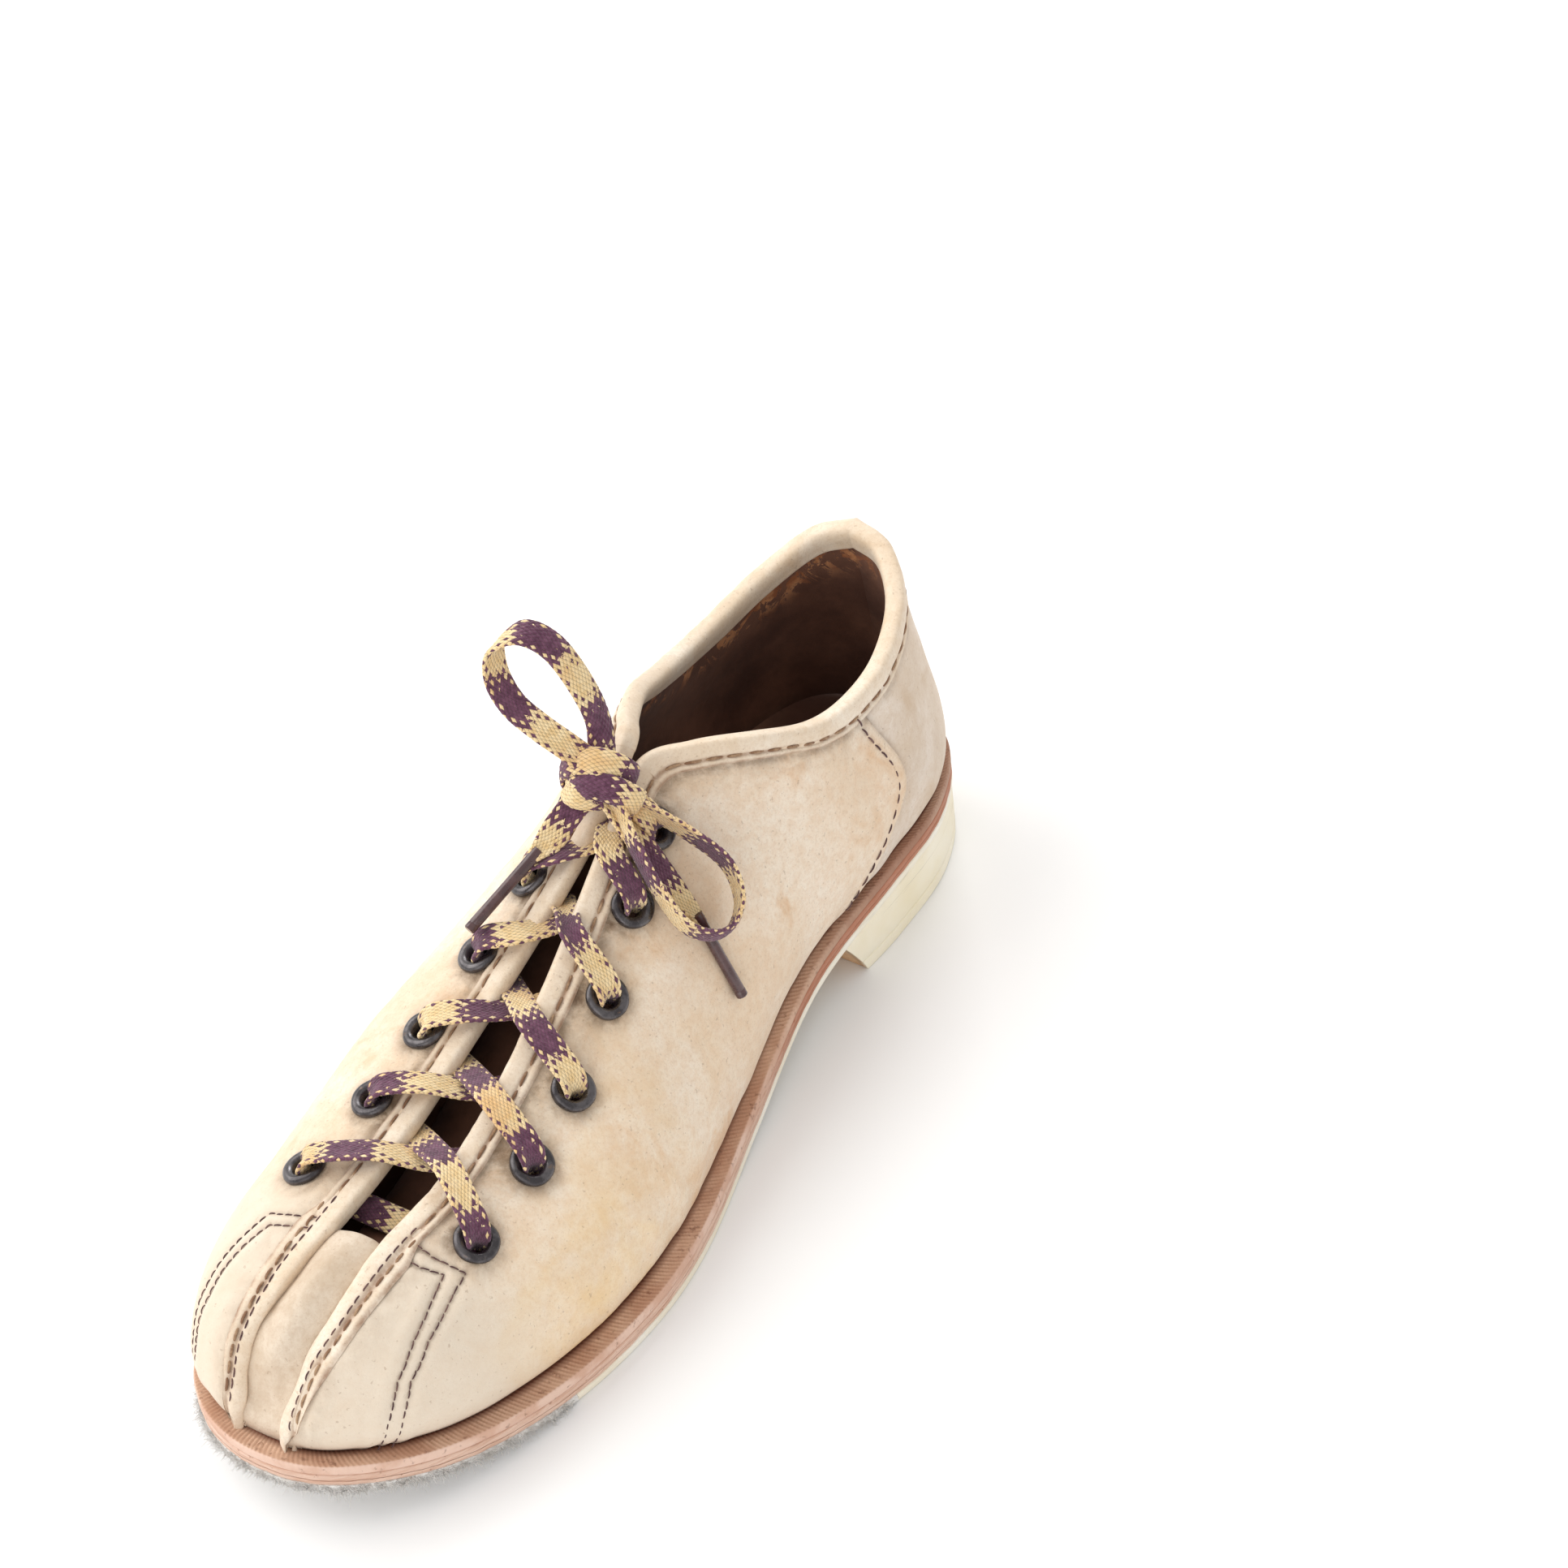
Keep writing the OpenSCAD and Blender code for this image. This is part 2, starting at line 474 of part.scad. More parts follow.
slide_sole();
rubber_sole();
midsole();
welt();
cork_filler();
shank();
heel_block();
heel_top_piece();
heel_nails();
insole();
sock_liner();
toe_puff();
heel_counter();
toe_plug();
back_strip();
collar_binding();
tongue();
for (s = SIDES) {
    vamp(side_sign(s));
    quarter(side_sign(s));
    lining(side_sign(s));
    eyelet_stay(side_sign(s));
    facing_binding(side_sign(s));
    for (i = [1:EYELETS]) eyelet(side_sign(s), i - 1);
}
lace_bar();
for (i = [1:EYELETS - 1]) lace_cross(i);
lace_ends();
bow_knot();
bow_loop_upper();
bow_loop_lower();
lace_tail_lateral();
lace_tail_medial();
aglet(AGLET_LATERAL);  // aglet_lateral
aglet(AGLET_MEDIAL);  // aglet_medial
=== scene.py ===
import math

import bmesh
import bpy
import numpy as np
from mathutils import Matrix, Vector, kdtree


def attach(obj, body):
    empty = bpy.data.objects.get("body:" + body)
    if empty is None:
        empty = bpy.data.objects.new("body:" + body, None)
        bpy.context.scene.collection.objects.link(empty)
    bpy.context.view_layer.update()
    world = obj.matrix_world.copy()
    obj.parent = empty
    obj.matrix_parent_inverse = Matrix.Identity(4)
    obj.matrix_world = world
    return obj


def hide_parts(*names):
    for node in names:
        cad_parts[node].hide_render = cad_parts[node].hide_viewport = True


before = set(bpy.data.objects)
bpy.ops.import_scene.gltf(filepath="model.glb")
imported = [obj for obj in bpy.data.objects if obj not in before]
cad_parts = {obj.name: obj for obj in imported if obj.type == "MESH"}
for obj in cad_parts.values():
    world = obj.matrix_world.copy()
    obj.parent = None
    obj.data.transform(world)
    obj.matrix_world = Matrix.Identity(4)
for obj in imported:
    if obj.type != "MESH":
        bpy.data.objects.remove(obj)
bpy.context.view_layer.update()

# Left bowling shoe. Shapes are worked out in millimetres on the same surfaces as the CAD source,
# and every mesh is written in metres. The toe points to -Y and the outer side of the foot is +X.
MM = 0.001
OUTER, INNER = 1, -1
SIDE = {OUTER: "lateral", INNER: "medial"}


# ---------------------------------------------------------------- curves and surfaces of the shoe
def unit(v):
    return v / np.maximum(np.linalg.norm(v, axis=-1, keepdims=True), 1e-9)


def smooth(t):
    t = np.clip(t, 0, 1)
    return t * t * (3 - 2 * t)


def bell(x, width):
    return np.exp(-((np.asarray(x) / width) ** 2))


def spline(a, b, c, d, t):
    return 0.5 * (2 * b + (c - a) * t + (2 * a - 5 * b + 4 * c - d) * t**2 + (3 * b - a - 3 * c + d) * t**3)


def along(points, u):
    """Points on an open smooth curve through points, u from 0 to 1."""
    p = np.asarray(points, float)
    p = p.reshape(len(p), -1)
    last = len(p) - 1
    x = np.clip(np.asarray(u, float), 0, 1) * last
    i = np.minimum(x.astype(int), last - 1)
    p = np.vstack([2 * p[0] - p[1], p, 2 * p[-1] - p[-2]])
    return spline(p[i], p[i + 1], p[i + 2], p[i + 3], (x - i)[..., None])


SOLE = np.array([
    [-6, -141], [12, -137], [29, -119.5], [40.5, -94], [47.5, -63], [47.5, -34], [39.5, 6], [34, 46],
    [37, 84], [36, 112], [25.5, 134], [5, 141], [-15.5, 134], [-26, 112], [-27, 84], [-27.5, 46],
    [-35, 6], [-45, -34], [-48, -63], [-47.5, -94], [-38.5, -120], [-24, -135]], float)
INSET = [5, 5, 5, 5, 5, 5, 4, 3, 2, 1.5, 1.5, 1.5, 1.5, 1.5, 2, 3, 4, 5, 5, 5, 5, 5, 5]
N_SOLE = len(SOLE)
SLIDE_T, MIDSOLE_T, WELT_T = 2.5, 3.5, 3.0
SOLE_T = SLIDE_T + MIDSOLE_T + WELT_T
HEEL_H, TOP_PIECE_T, TOE_SPRING = 17.0, 4.0, 11.0
BALL_Y, TOE_Y, WAIST_Y, SEAT_Y = -75.0, -141.0, -17.0, 93.0
SLIDE_END_Y = -84.0
BREAST_Y = (62.0, 70.0)
GAP = 0.1
LEATHER_T = 1.5
LINING_DEPTH, UPPER_T = 2.6, 3.6


def outline(s):
    s = np.asarray(s, float)
    i = np.floor(s).astype(int)
    at = [SOLE[(i + k) % N_SOLE] for k in (-1, 0, 1, 2)]
    return spline(*at, (s - i)[..., None])


def outward(s):
    d = unit(outline(s + 0.05) - outline(s - 0.05))
    return np.stack([d[..., 1], -d[..., 0]], -1)


def feather_inset(s):
    return along(INSET, np.asarray(s) / N_SOLE)[..., 0]


def base_z(y):
    y = np.asarray(y, float)
    toe = TOE_SPRING * (np.minimum(y - BALL_Y, 0) / (TOE_Y - BALL_Y)) ** 2
    return np.where(y < BALL_Y, toe, HEEL_H * smooth((y - WAIST_Y) / (SEAT_Y - WAIST_Y)))


TOP = {
    OUTER: [
        [0.5, -135.9, 21], [1.5, -124, 36], [4, -115, 43], [5.2, -105, 47], [5.8, -94, 48.5],
        [8.5, -77, 50.5], [8.5, -60, 53.5], [7.5, -42, 58], [6, -22, 65], [4.5, -2, 74], [3.5, 16, 83],
        [4, 31, 91], [12, 41, 91], [22, 54, 87], [28.5, 70, 80], [30.8, 86, 77.5], [30.5, 102, 79],
        [26, 118, 84], [16, 130, 89], [5, 133.5, 91]],
    INNER: [
        [-14, -134.8, 20.5], [-13.5, -126, 36], [-12, -118, 43], [-11, -106, 46.5], [-9.5, -94, 48.5],
        [-8.5, -79, 50], [-8, -62, 52.5], [-7.5, -44, 57], [-6.5, -25, 63], [-5, -5, 71], [-3.5, 14, 81],
        [-2.5, 32, 95], [-8, 42, 95], [-14, 54, 91], [-18.5, 68, 83.5], [-21, 84, 78], [-21, 100, 76],
        [-16, 116, 80.5], [-6, 128.5, 88], [5, 133.5, 91]]}
# Outline place, how far the foot swells out and rises, how far the top edge leaves outward and down
SECTIONS = {
    OUTER: [
        [0.35, 0.3, 0.6, 0.3, 0.3], [2.1, 2, 20, 14, 1], [3.8, 5, 24, 18, 4], [5.6, 8, 26, 16, 5],
        [6.9, 14, 28, 15, 14], [8.2, 6, 25, 6, 22], [9.6, 3, 20, 3, 20], [11, 3, 25, 3, 22]],
    INNER: [
        [21.6, 0.3, 0.6, 0.3, 0.3], [19.9, 8, 21, 19, 1], [18.2, 10, 30, 26, 0], [16.4, 15, 34, 30, 0],
        [15.1, 14, 38, 21, 11], [13.8, 8, 28, 8, 22], [12.4, 3, 22, 3, 20], [11, 3, 25, 3, 22]]}
THROAT_U = 11 / 19


def controls(side, u):
    row = along(SECTIONS[side], u)
    n = outward(row[..., 0])
    foot = outline(row[..., 0]) - n * feather_inset(row[..., 0])[..., None]
    b = np.concatenate([foot, (base_z(foot[..., 1]) + SOLE_T + GAP)[..., None]], -1)
    t = along(TOP[side], u)
    out = np.concatenate([n, np.zeros_like(n[..., :1])], -1)
    up = np.array([0, 0, 1.0])
    return (b, b + out * row[..., 1:2] + up * row[..., 2:3],
            t + out * row[..., 3:4] - up * row[..., 4:5], t)


def on_side(side, u, v):
    u, v = np.broadcast_arrays(np.asarray(u, float), np.asarray(v, float))
    a, b, c, d = controls(side, u)
    v = v[..., None]
    w = 1 - v
    return a * w**3 + 3 * b * w * w * v + 3 * c * w * v * v + d * v**3


def normal(side, u, v):
    e = 0.002
    u, v = np.broadcast_arrays(np.asarray(u, float), np.asarray(v, float))
    du = on_side(side, np.minimum(u + e, 1), v) - on_side(side, np.maximum(u - e, 0), v)
    dv = on_side(side, u, np.minimum(v + e, 1)) - on_side(side, u, np.maximum(v - e, 0))
    return side * unit(np.cross(du, dv))


def below_edge(side, u, distance):
    c = controls(side, u)
    return 1 - np.minimum(0.6, distance / (3 * np.linalg.norm(c[3] - c[2], axis=-1)))


def seam_u(v):
    return 0.79 - 0.15 * (1 - v) ** 3


def edge_frame(side, u):
    """Top edge point, outward normal and the direction down the leather."""
    u = np.asarray(u, float)
    t = along(TOP[side], u)
    return t, normal(side, u, 0.999), unit(on_side(side, u, 0.96) - t)


def wave(p, wavelength, seed, octaves=3):
    """Smooth repeatable noise of about -1 to 1 at points in mm."""
    r = np.random.default_rng(seed)
    total, size = 0, 1.0
    for _ in range(octaves):
        for _ in range(7):
            d = unit(r.normal(size=3)) * (2 * np.pi / wavelength) * r.uniform(0.7, 1.4)
            total = total + size * np.sin(p @ d + r.uniform(0, 2 * np.pi))
        wavelength, size = wavelength / 2, size / 2
    return total / 6


# ---------------------------------------------------------------- mesh making
def add_mesh(name, verts, faces, mat, slot, body="shoe", marks=None, uv=None, replaces=(), sharp=55):
    """A piece from points in mm. marks are point values for its material, uv is one pair per point."""
    mesh = bpy.data.meshes.new(name)
    verts = np.asarray(verts, float).reshape(-1, 3)
    mesh.from_pydata((verts * MM).tolist(), [], [list(map(int, f)) for f in faces])
    mesh.validate()
    bm = bmesh.new()
    bm.from_mesh(mesh)
    bmesh.ops.recalc_face_normals(bm, faces=bm.faces)
    bm.to_mesh(mesh)
    bm.free()
    for key, values in (marks or {}).items():
        attribute = mesh.attributes.new(key, "FLOAT", "POINT")
        attribute.data.foreach_set("value", np.asarray(values, np.float32).ravel())
    if uv is not None:
        layer = mesh.uv_layers.new(name="weave")
        loops = np.zeros(len(mesh.loops), np.int32)
        mesh.loops.foreach_get("vertex_index", loops)
        layer.data.foreach_set("uv", np.asarray(uv, np.float32).reshape(-1, 2)[loops].ravel())
    mesh.polygons.foreach_set("use_smooth", np.ones(len(mesh.polygons), bool))
    mesh.set_sharp_from_angle(angle=math.radians(sharp))
    obj = bpy.data.objects.new(name, mesh)
    bpy.context.scene.collection.objects.link(obj)
    obj.data.materials.append(mat)
    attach(obj, body)
    if replaces:
        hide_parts(*replaces)
    return obj


def quads(a, b, c, d):
    return np.stack([a, b, c, d], -1).reshape(-1, 4)


def sheet_solid(outer, inner, removed=None):
    """Closed solid between two grids of points; removed marks the cells that are holes."""
    nu, nv = outer.shape[:2]
    n = nu * nv
    idx = np.arange(n).reshape(nu, nv)
    cell = quads(idx[:-1, :-1], idx[:-1, 1:], idx[1:, 1:], idx[1:, :-1]).reshape(nu - 1, nv - 1, 4)
    kept = np.ones((nu - 1, nv - 1), bool) if removed is None else ~removed
    faces = [cell[kept], cell[kept][:, ::-1] + n]
    padded = np.pad(kept, 1)
    for axis in (0, 1):
        a = padded[1:, 1:-1] if axis == 0 else padded[1:-1, 1:]
        b = padded[:-1, 1:-1] if axis == 0 else padded[1:-1, :-1]
        rim = a != b
        p = idx[:, :-1] if axis == 0 else idx[:-1, :]
        q = idx[:, 1:] if axis == 0 else idx[1:, :]
        faces.append(quads(p[rim], q[rim], q[rim] + n, p[rim] + n))
    return np.vstack([outer.reshape(-1, 3), inner.reshape(-1, 3)]), np.vstack(faces)


def rings_solid(rings, closed=False):
    """Solid skinned over rings of points, shape (count, around, 3). closed joins the last to the first."""
    m, n = rings.shape[:2]
    idx = np.arange(m * n).reshape(m, n)
    nxt = np.roll(idx, -1, axis=1)
    if closed:
        faces = list(quads(idx, nxt, np.roll(nxt, -1, 0), np.roll(idx, -1, 0)))
    else:
        faces = list(quads(idx[:-1], nxt[:-1], nxt[1:], idx[1:])) + [idx[0][::-1], idx[-1]]
    return rings.reshape(-1, 3), faces


def tubes(paths, radii, up, sides=6, flat=1.0):
    """Many closed tubes at once: paths (count, steps, 3), radii (steps,) or (count, steps)."""
    n, k = paths.shape[:2]
    radii = np.broadcast_to(radii, (n, k))[..., None, None]
    t = unit(np.gradient(paths, axis=1))
    x = unit(np.cross(t, np.broadcast_to(up, paths.shape)))
    y = np.cross(x, t)
    a = np.arange(sides) * 2 * np.pi / sides
    ring = (paths[:, :, None] + radii * (np.cos(a)[:, None] * x[:, :, None]
            + flat * np.sin(a)[:, None] * y[:, :, None]))
    idx = np.arange(n * k * sides).reshape(n, k, sides)
    nxt = np.roll(idx, -1, axis=2)
    walls = quads(idx[:, :-1], nxt[:, :-1], nxt[:, 1:], idx[:, 1:])
    return ring.reshape(-1, 3), list(walls) + list(idx[:, 0, ::-1]) + list(idx[:, -1])


def graded(n, width, rim):
    """Grid places from 0 to 1, closer together within rim mm of both ends of a width in mm."""
    near = np.array([0, 0.08, 0.3, 0.6, 1.0]) * rim / width
    return np.concatenate([near, np.linspace(near[-1], 1 - near[-1], n)[1:-1], 1 - near[::-1]])


def rounded(distance, radius):
    """How far a sheet's face drops near its edge, as a quarter circle."""
    x = 1 - np.clip(distance / radius, 0, 1)
    return radius * (1 - np.sqrt(np.clip(1 - x * x, 0, 1)))


def resample(points, step):
    """Points at an even step in mm along a polyline, with the distance of each."""
    points = np.asarray(points, float)
    length = np.concatenate([[0], np.cumsum(np.linalg.norm(np.diff(points[:, :3], axis=0), axis=1))])
    at = np.linspace(0, length[-1], max(int(round(length[-1] / step)), 4) + 1)
    return np.stack([np.interp(at, length, points[:, k]) for k in range(points.shape[1])], -1), at


def nearest(points, lines):
    """Distance from each point to the nearest of the lines' points."""
    tree = kdtree.KDTree(len(lines))
    for i, p in enumerate(lines):
        tree.insert(p, i)
    tree.balance()
    return np.array([tree.find(p)[2] for p in points.reshape(-1, 3)]).reshape(points.shape[:-1])


# ---------------------------------------------------------------- materials
def rgb(r, g, b):
    """Linear colour from 0 to 255 display values."""
    return tuple(c / 12.92 if c <= 0.04045 else ((c + 0.055) / 1.055) ** 2.4
                 for c in (r / 255, g / 255, b / 255))


class Shade:
    """A node material under construction."""

    def __init__(self, name, **sockets):
        self.mat = bpy.data.materials.new(name)
        self.mat.use_nodes = True
        self.nt = self.mat.node_tree
        self.bsdf = self.nt.nodes["Principled BSDF"]
        for key, value in sockets.items():
            self.bsdf.inputs[key.replace("_", " ")].default_value = value
        self.place = self.nt.nodes.new("ShaderNodeTexCoord").outputs["Object"]

    def put(self, socket, value):
        if isinstance(value, bpy.types.NodeSocket):
            self.nt.links.new(value, socket)
        elif isinstance(value, tuple):
            socket.default_value = (*value, 1)
        else:
            socket.default_value = value

    def noise(self, scale, detail=3, rough=0.55, distortion=0.0, stretch=None):
        node = self.nt.nodes.new("ShaderNodeTexNoise")
        node.inputs["Scale"].default_value = scale
        node.inputs["Detail"].default_value = detail
        node.inputs["Roughness"].default_value = rough
        node.inputs["Distortion"].default_value = distortion
        self.put(node.inputs["Vector"], self.stretched(stretch))
        return node.outputs["Fac"]

    def stretched(self, stretch):
        if stretch is None:
            return self.place
        node = self.nt.nodes.new("ShaderNodeMapping")
        node.inputs["Scale"].default_value = stretch
        self.put(node.inputs["Vector"], self.place)
        return node.outputs["Vector"]

    def cells(self, scale, feature="F1", stretch=None):
        node = self.nt.nodes.new("ShaderNodeTexVoronoi")
        node.feature = feature
        node.inputs["Scale"].default_value = scale
        self.put(node.inputs["Vector"], self.stretched(stretch))
        return node.outputs["Distance"]

    def mark(self, name):
        node = self.nt.nodes.new("ShaderNodeAttribute")
        node.attribute_name = name
        return node.outputs["Fac"]

    def math(self, operation, a, b=0.0):
        node = self.nt.nodes.new("ShaderNodeMath")
        node.operation = operation
        self.put(node.inputs[0], a)
        self.put(node.inputs[1], b)
        return node.outputs[0]

    def ramp(self, value, low, high, to_low=0.0, to_high=1.0):
        node = self.nt.nodes.new("ShaderNodeMapRange")
        node.interpolation_type = "SMOOTHSTEP"
        self.put(node.inputs["Value"], value)
        for key, x in (("From Min", low), ("From Max", high), ("To Min", to_low), ("To Max", to_high)):
            node.inputs[key].default_value = x
        return node.outputs["Result"]

    def mix(self, factor, a, b):
        node = self.nt.nodes.new("ShaderNodeMix")
        node.data_type = "RGBA"
        self.put(node.inputs[0], factor)
        self.put(node.inputs[6], a)
        self.put(node.inputs[7], b)
        return node.outputs[2]

    def bump(self, height, distance_mm, strength=1.0, below=None):
        node = self.nt.nodes.new("ShaderNodeBump")
        node.inputs["Strength"].default_value = strength
        node.inputs["Distance"].default_value = distance_mm * MM
        self.put(node.inputs["Height"], height)
        if below is not None:
            self.put(node.inputs["Normal"], below)
        return node.outputs["Normal"]

    def finish(self, colour=None, roughness=None, bump=None):
        for key, value in (("Base Color", colour), ("Roughness", roughness), ("Normal", bump)):
            if value is not None:
                self.put(self.bsdf.inputs[key], value)
        return self.mat


GRIME_AND_SHADE = rgb(120, 96, 74)
YELLOW = rgb(236, 196, 120)


def leather(name, base, light, tan, tan_share=0.5, rough=0.62, grime_and_shade=GRIME_AND_SHADE, grain=1.0):
    """Worn light leather: soft blotches, tan patches, fine specks, and marks painted on the points; the grime
    mark also carries painted shade in seams, grooves and creases.
    """
    s = Shade(name, Sheen_Weight=0.12, Sheen_Roughness=0.5, Specular_IOR_Level=0.32)
    blotch = s.ramp(s.noise(24, 4, 0.6, 0.4), 0.42, 0.62)
    colour = s.mix(blotch, base, light)
    patch = s.ramp(s.noise(38, 5, 0.62, 0.8), 0.54, 0.72, 0, tan_share)
    colour = s.mix(patch, colour, tan)
    fine = s.ramp(s.noise(300, 5, 0.75, 0.3), 0.36, 0.66, 0.0, 0.34)
    colour = s.mix(fine, colour, tan)
    dust = s.ramp(s.noise(1300, 4, 0.75), 0.45, 0.72, 0.0, 0.3)
    colour = s.mix(dust, colour, rgb(188, 158, 128))
    yellow = s.math("MULTIPLY", s.mark("yellow"), s.ramp(s.noise(60, 4, 0.6, 0.5), 0.3, 0.6, 0.35, 1.0))
    colour = s.mix(yellow, colour, YELLOW)
    colour = s.mix(s.math("MULTIPLY", s.mark("toe"), 0.75), colour, rgb(223, 209, 190))
    broken = s.ramp(s.noise(150, 5, 0.7, 0.3), 0.34, 0.66, 0.25, 1.0)
    # painted shade mixed with grime: this mark darkens seams, grooves, creases and the foot of the upper as
    # well as real dirt round the eyelets
    colour = s.mix(s.math("MULTIPLY", s.mark("grime_and_shade"), broken), colour, grime_and_shade)
    specks = s.ramp(s.noise(900, 2, 0.5), 0.66, 0.74, 0, 0.35)
    colour = s.mix(specks, colour, rgb(150, 122, 96))
    pores = s.cells(1500)
    creased = s.noise(260, 5, 0.65, 0.6)
    normal = s.bump(s.ramp(pores, 0.0, 0.5), 0.05 * grain, 0.6)
    normal = s.bump(creased, 0.2 * grain, 0.9, normal)
    roughness = s.ramp(s.noise(70, 3), 0.3, 0.7, rough - 0.08, rough + 0.1)
    return s.finish(colour, roughness, normal)


vamp_skin = leather("vamp_leather", rgb(232, 212, 188), rgb(241, 228, 211), rgb(220, 182, 144), 0.85)
quarter_skin = leather("quarter_leather", rgb(216, 200, 183), rgb(228, 217, 206), rgb(198, 172, 144), 0.6)
toe_skin = leather("toe_leather", rgb(208, 190, 168), rgb(222, 207, 188), rgb(184, 158, 130), 0.7)
binding_skin = leather("binding_leather", rgb(230, 212, 189), rgb(239, 226, 208), rgb(212, 184, 150), 0.6,
                       rough=0.52, grime_and_shade=rgb(140, 98, 70), grain=0.8)


def lining_material():
    s = Shade("lining_leather", Sheen_Weight=0.08, Specular_IOR_Level=0.35)
    colour = s.mix(s.ramp(s.noise(40, 4, 0.6), 0.35, 0.65), rgb(88, 58, 46), rgb(124, 86, 68))
    worn = s.math("MULTIPLY", s.mark("rim"), s.ramp(s.noise(120, 6, 0.72, 0.8), 0.5, 0.54))
    orange = s.mix(s.ramp(s.noise(190, 4, 0.6), 0.4, 0.6), rgb(150, 92, 58), rgb(196, 140, 98))
    colour = s.mix(worn, colour, orange)
    height = s.math("SUBTRACT", s.noise(420, 4, 0.6), worn)
    return s.finish(colour, s.ramp(s.noise(60), 0.3, 0.7, 0.5, 0.72), s.bump(height, 0.25, 0.7))


def dark_sole_leather():
    s = Shade("insole_leather", Specular_IOR_Level=0.4)
    colour = s.mix(s.ramp(s.noise(22, 4, 0.6), 0.35, 0.65), rgb(96, 66, 54), rgb(138, 102, 82))
    colour = s.mix(s.ramp(s.noise(160, 5, 0.7), 0.55, 0.7, 0, 0.5), colour, rgb(40, 25, 21))
    return s.finish(colour, s.ramp(s.noise(50), 0.3, 0.7, 0.34, 0.6), s.bump(s.noise(500, 4), 0.12, 0.6))


def welt_material():
    s = Shade("welt_leather", Specular_IOR_Level=0.3)
    colour = s.mix(s.ramp(s.noise(45, 4, 0.65, 0.4), 0.35, 0.65), rgb(222, 186, 160), rgb(196, 152, 126))
    # painted shade in the valleys between the welt's ribs
    colour = s.mix(s.math("MULTIPLY", s.mark("rib_valley_shade"), 0.65), colour, rgb(150, 104, 80))
    colour = s.mix(s.mark("edge"), colour, s.mix(s.ramp(s.noise(90, 4), 0.4, 0.6), rgb(226, 194, 176),
                                                 rgb(210, 170, 148)))
    # painted shade in the band just under the upper; the same mark also makes the welt darker towards the
    # heel
    colour = s.mix(s.mark("dark"), colour, rgb(96, 46, 28))
    colour = s.mix(s.ramp(s.noise(520, 3, 0.6), 0.58, 0.72, 0, 0.5), colour, rgb(104, 60, 42))
    return s.finish(colour, s.ramp(s.noise(120), 0.3, 0.7, 0.55, 0.78), s.bump(s.noise(1200, 3), 0.1, 0.8))


def midsole_material():
    s = Shade("sole_leather", Specular_IOR_Level=0.3)
    fibre = s.noise(90, 5, 0.7, 0.3, (1, 1, 14))
    colour = s.mix(s.ramp(fibre, 0.35, 0.65), rgb(226, 196, 178), rgb(208, 168, 146))
    colour = s.mix(s.mark("split"), colour, rgb(96, 52, 40))
    colour = s.mix(s.mark("waist"), colour, rgb(170, 98, 64))
    colour = s.mix(s.ramp(s.noise(700, 2), 0.64, 0.72, 0, 0.5), colour, rgb(150, 96, 70))
    return s.finish(colour, s.ramp(s.noise(150), 0.3, 0.7, 0.55, 0.75), s.bump(fibre, 0.2, 0.8))


def rubber_material(name, base, old, scratches):
    s = Shade(name, Specular_IOR_Level=0.4, Subsurface_Weight=0.05, Subsurface_Scale=0.002)
    s.bsdf.inputs["Subsurface Radius"].default_value = (1.0, 0.8, 0.5)
    colour = s.mix(s.ramp(s.noise(26, 4, 0.6), 0.35, 0.65), base, old)
    scratch = s.ramp(s.noise(60, 6, 0.75, 1.5, (1, 0.25, 9)), 0.6, 0.68, 0, scratches)
    colour = s.mix(scratch, colour, rgb(150, 138, 112))
    colour = s.mix(s.mark("amber"), colour, rgb(214, 150, 76))
    colour = s.mix(s.mark("line"), colour, rgb(120, 84, 54))
    return s.finish(colour, s.ramp(s.noise(110, 4), 0.3, 0.7, 0.4, 0.62), s.bump(s.noise(340, 4), 0.08, 0.6))


def suede_material():
    s = Shade("suede", Sheen_Weight=0.6, Sheen_Roughness=0.5, Roughness=0.95, Specular_IOR_Level=0.1)
    colour = s.mix(s.ramp(s.noise(300, 5, 0.75), 0.35, 0.68), rgb(252, 250, 247), rgb(230, 226, 220))
    return s.finish(colour, None, s.bump(s.noise(900, 5, 0.8), 0.5, 1.0))


def enamel_material():
    s = Shade("eyelet_enamel", Metallic=0.75, Coat_Weight=0.4, Coat_Roughness=0.25)
    colour = s.mix(s.ramp(s.noise(260, 5, 0.7), 0.4, 0.62), rgb(58, 54, 57), rgb(92, 88, 90))
    worn = s.ramp(s.noise(420, 5, 0.75, 0.5), 0.6, 0.7, 0, 0.55)
    colour = s.mix(worn, colour, rgb(122, 96, 76))
    return s.finish(colour, s.ramp(s.noise(350, 4), 0.3, 0.7, 0.2, 0.42), s.bump(s.noise(700, 4), 0.08, 0.5))


LACE_CELL = (1.9, 0.95)     # length and width of one braid cell, in mm
LACE_REPEAT = 27.0          # length of one plum and one cream block together
LACE_W, LACE_T = 7.2, 1.5


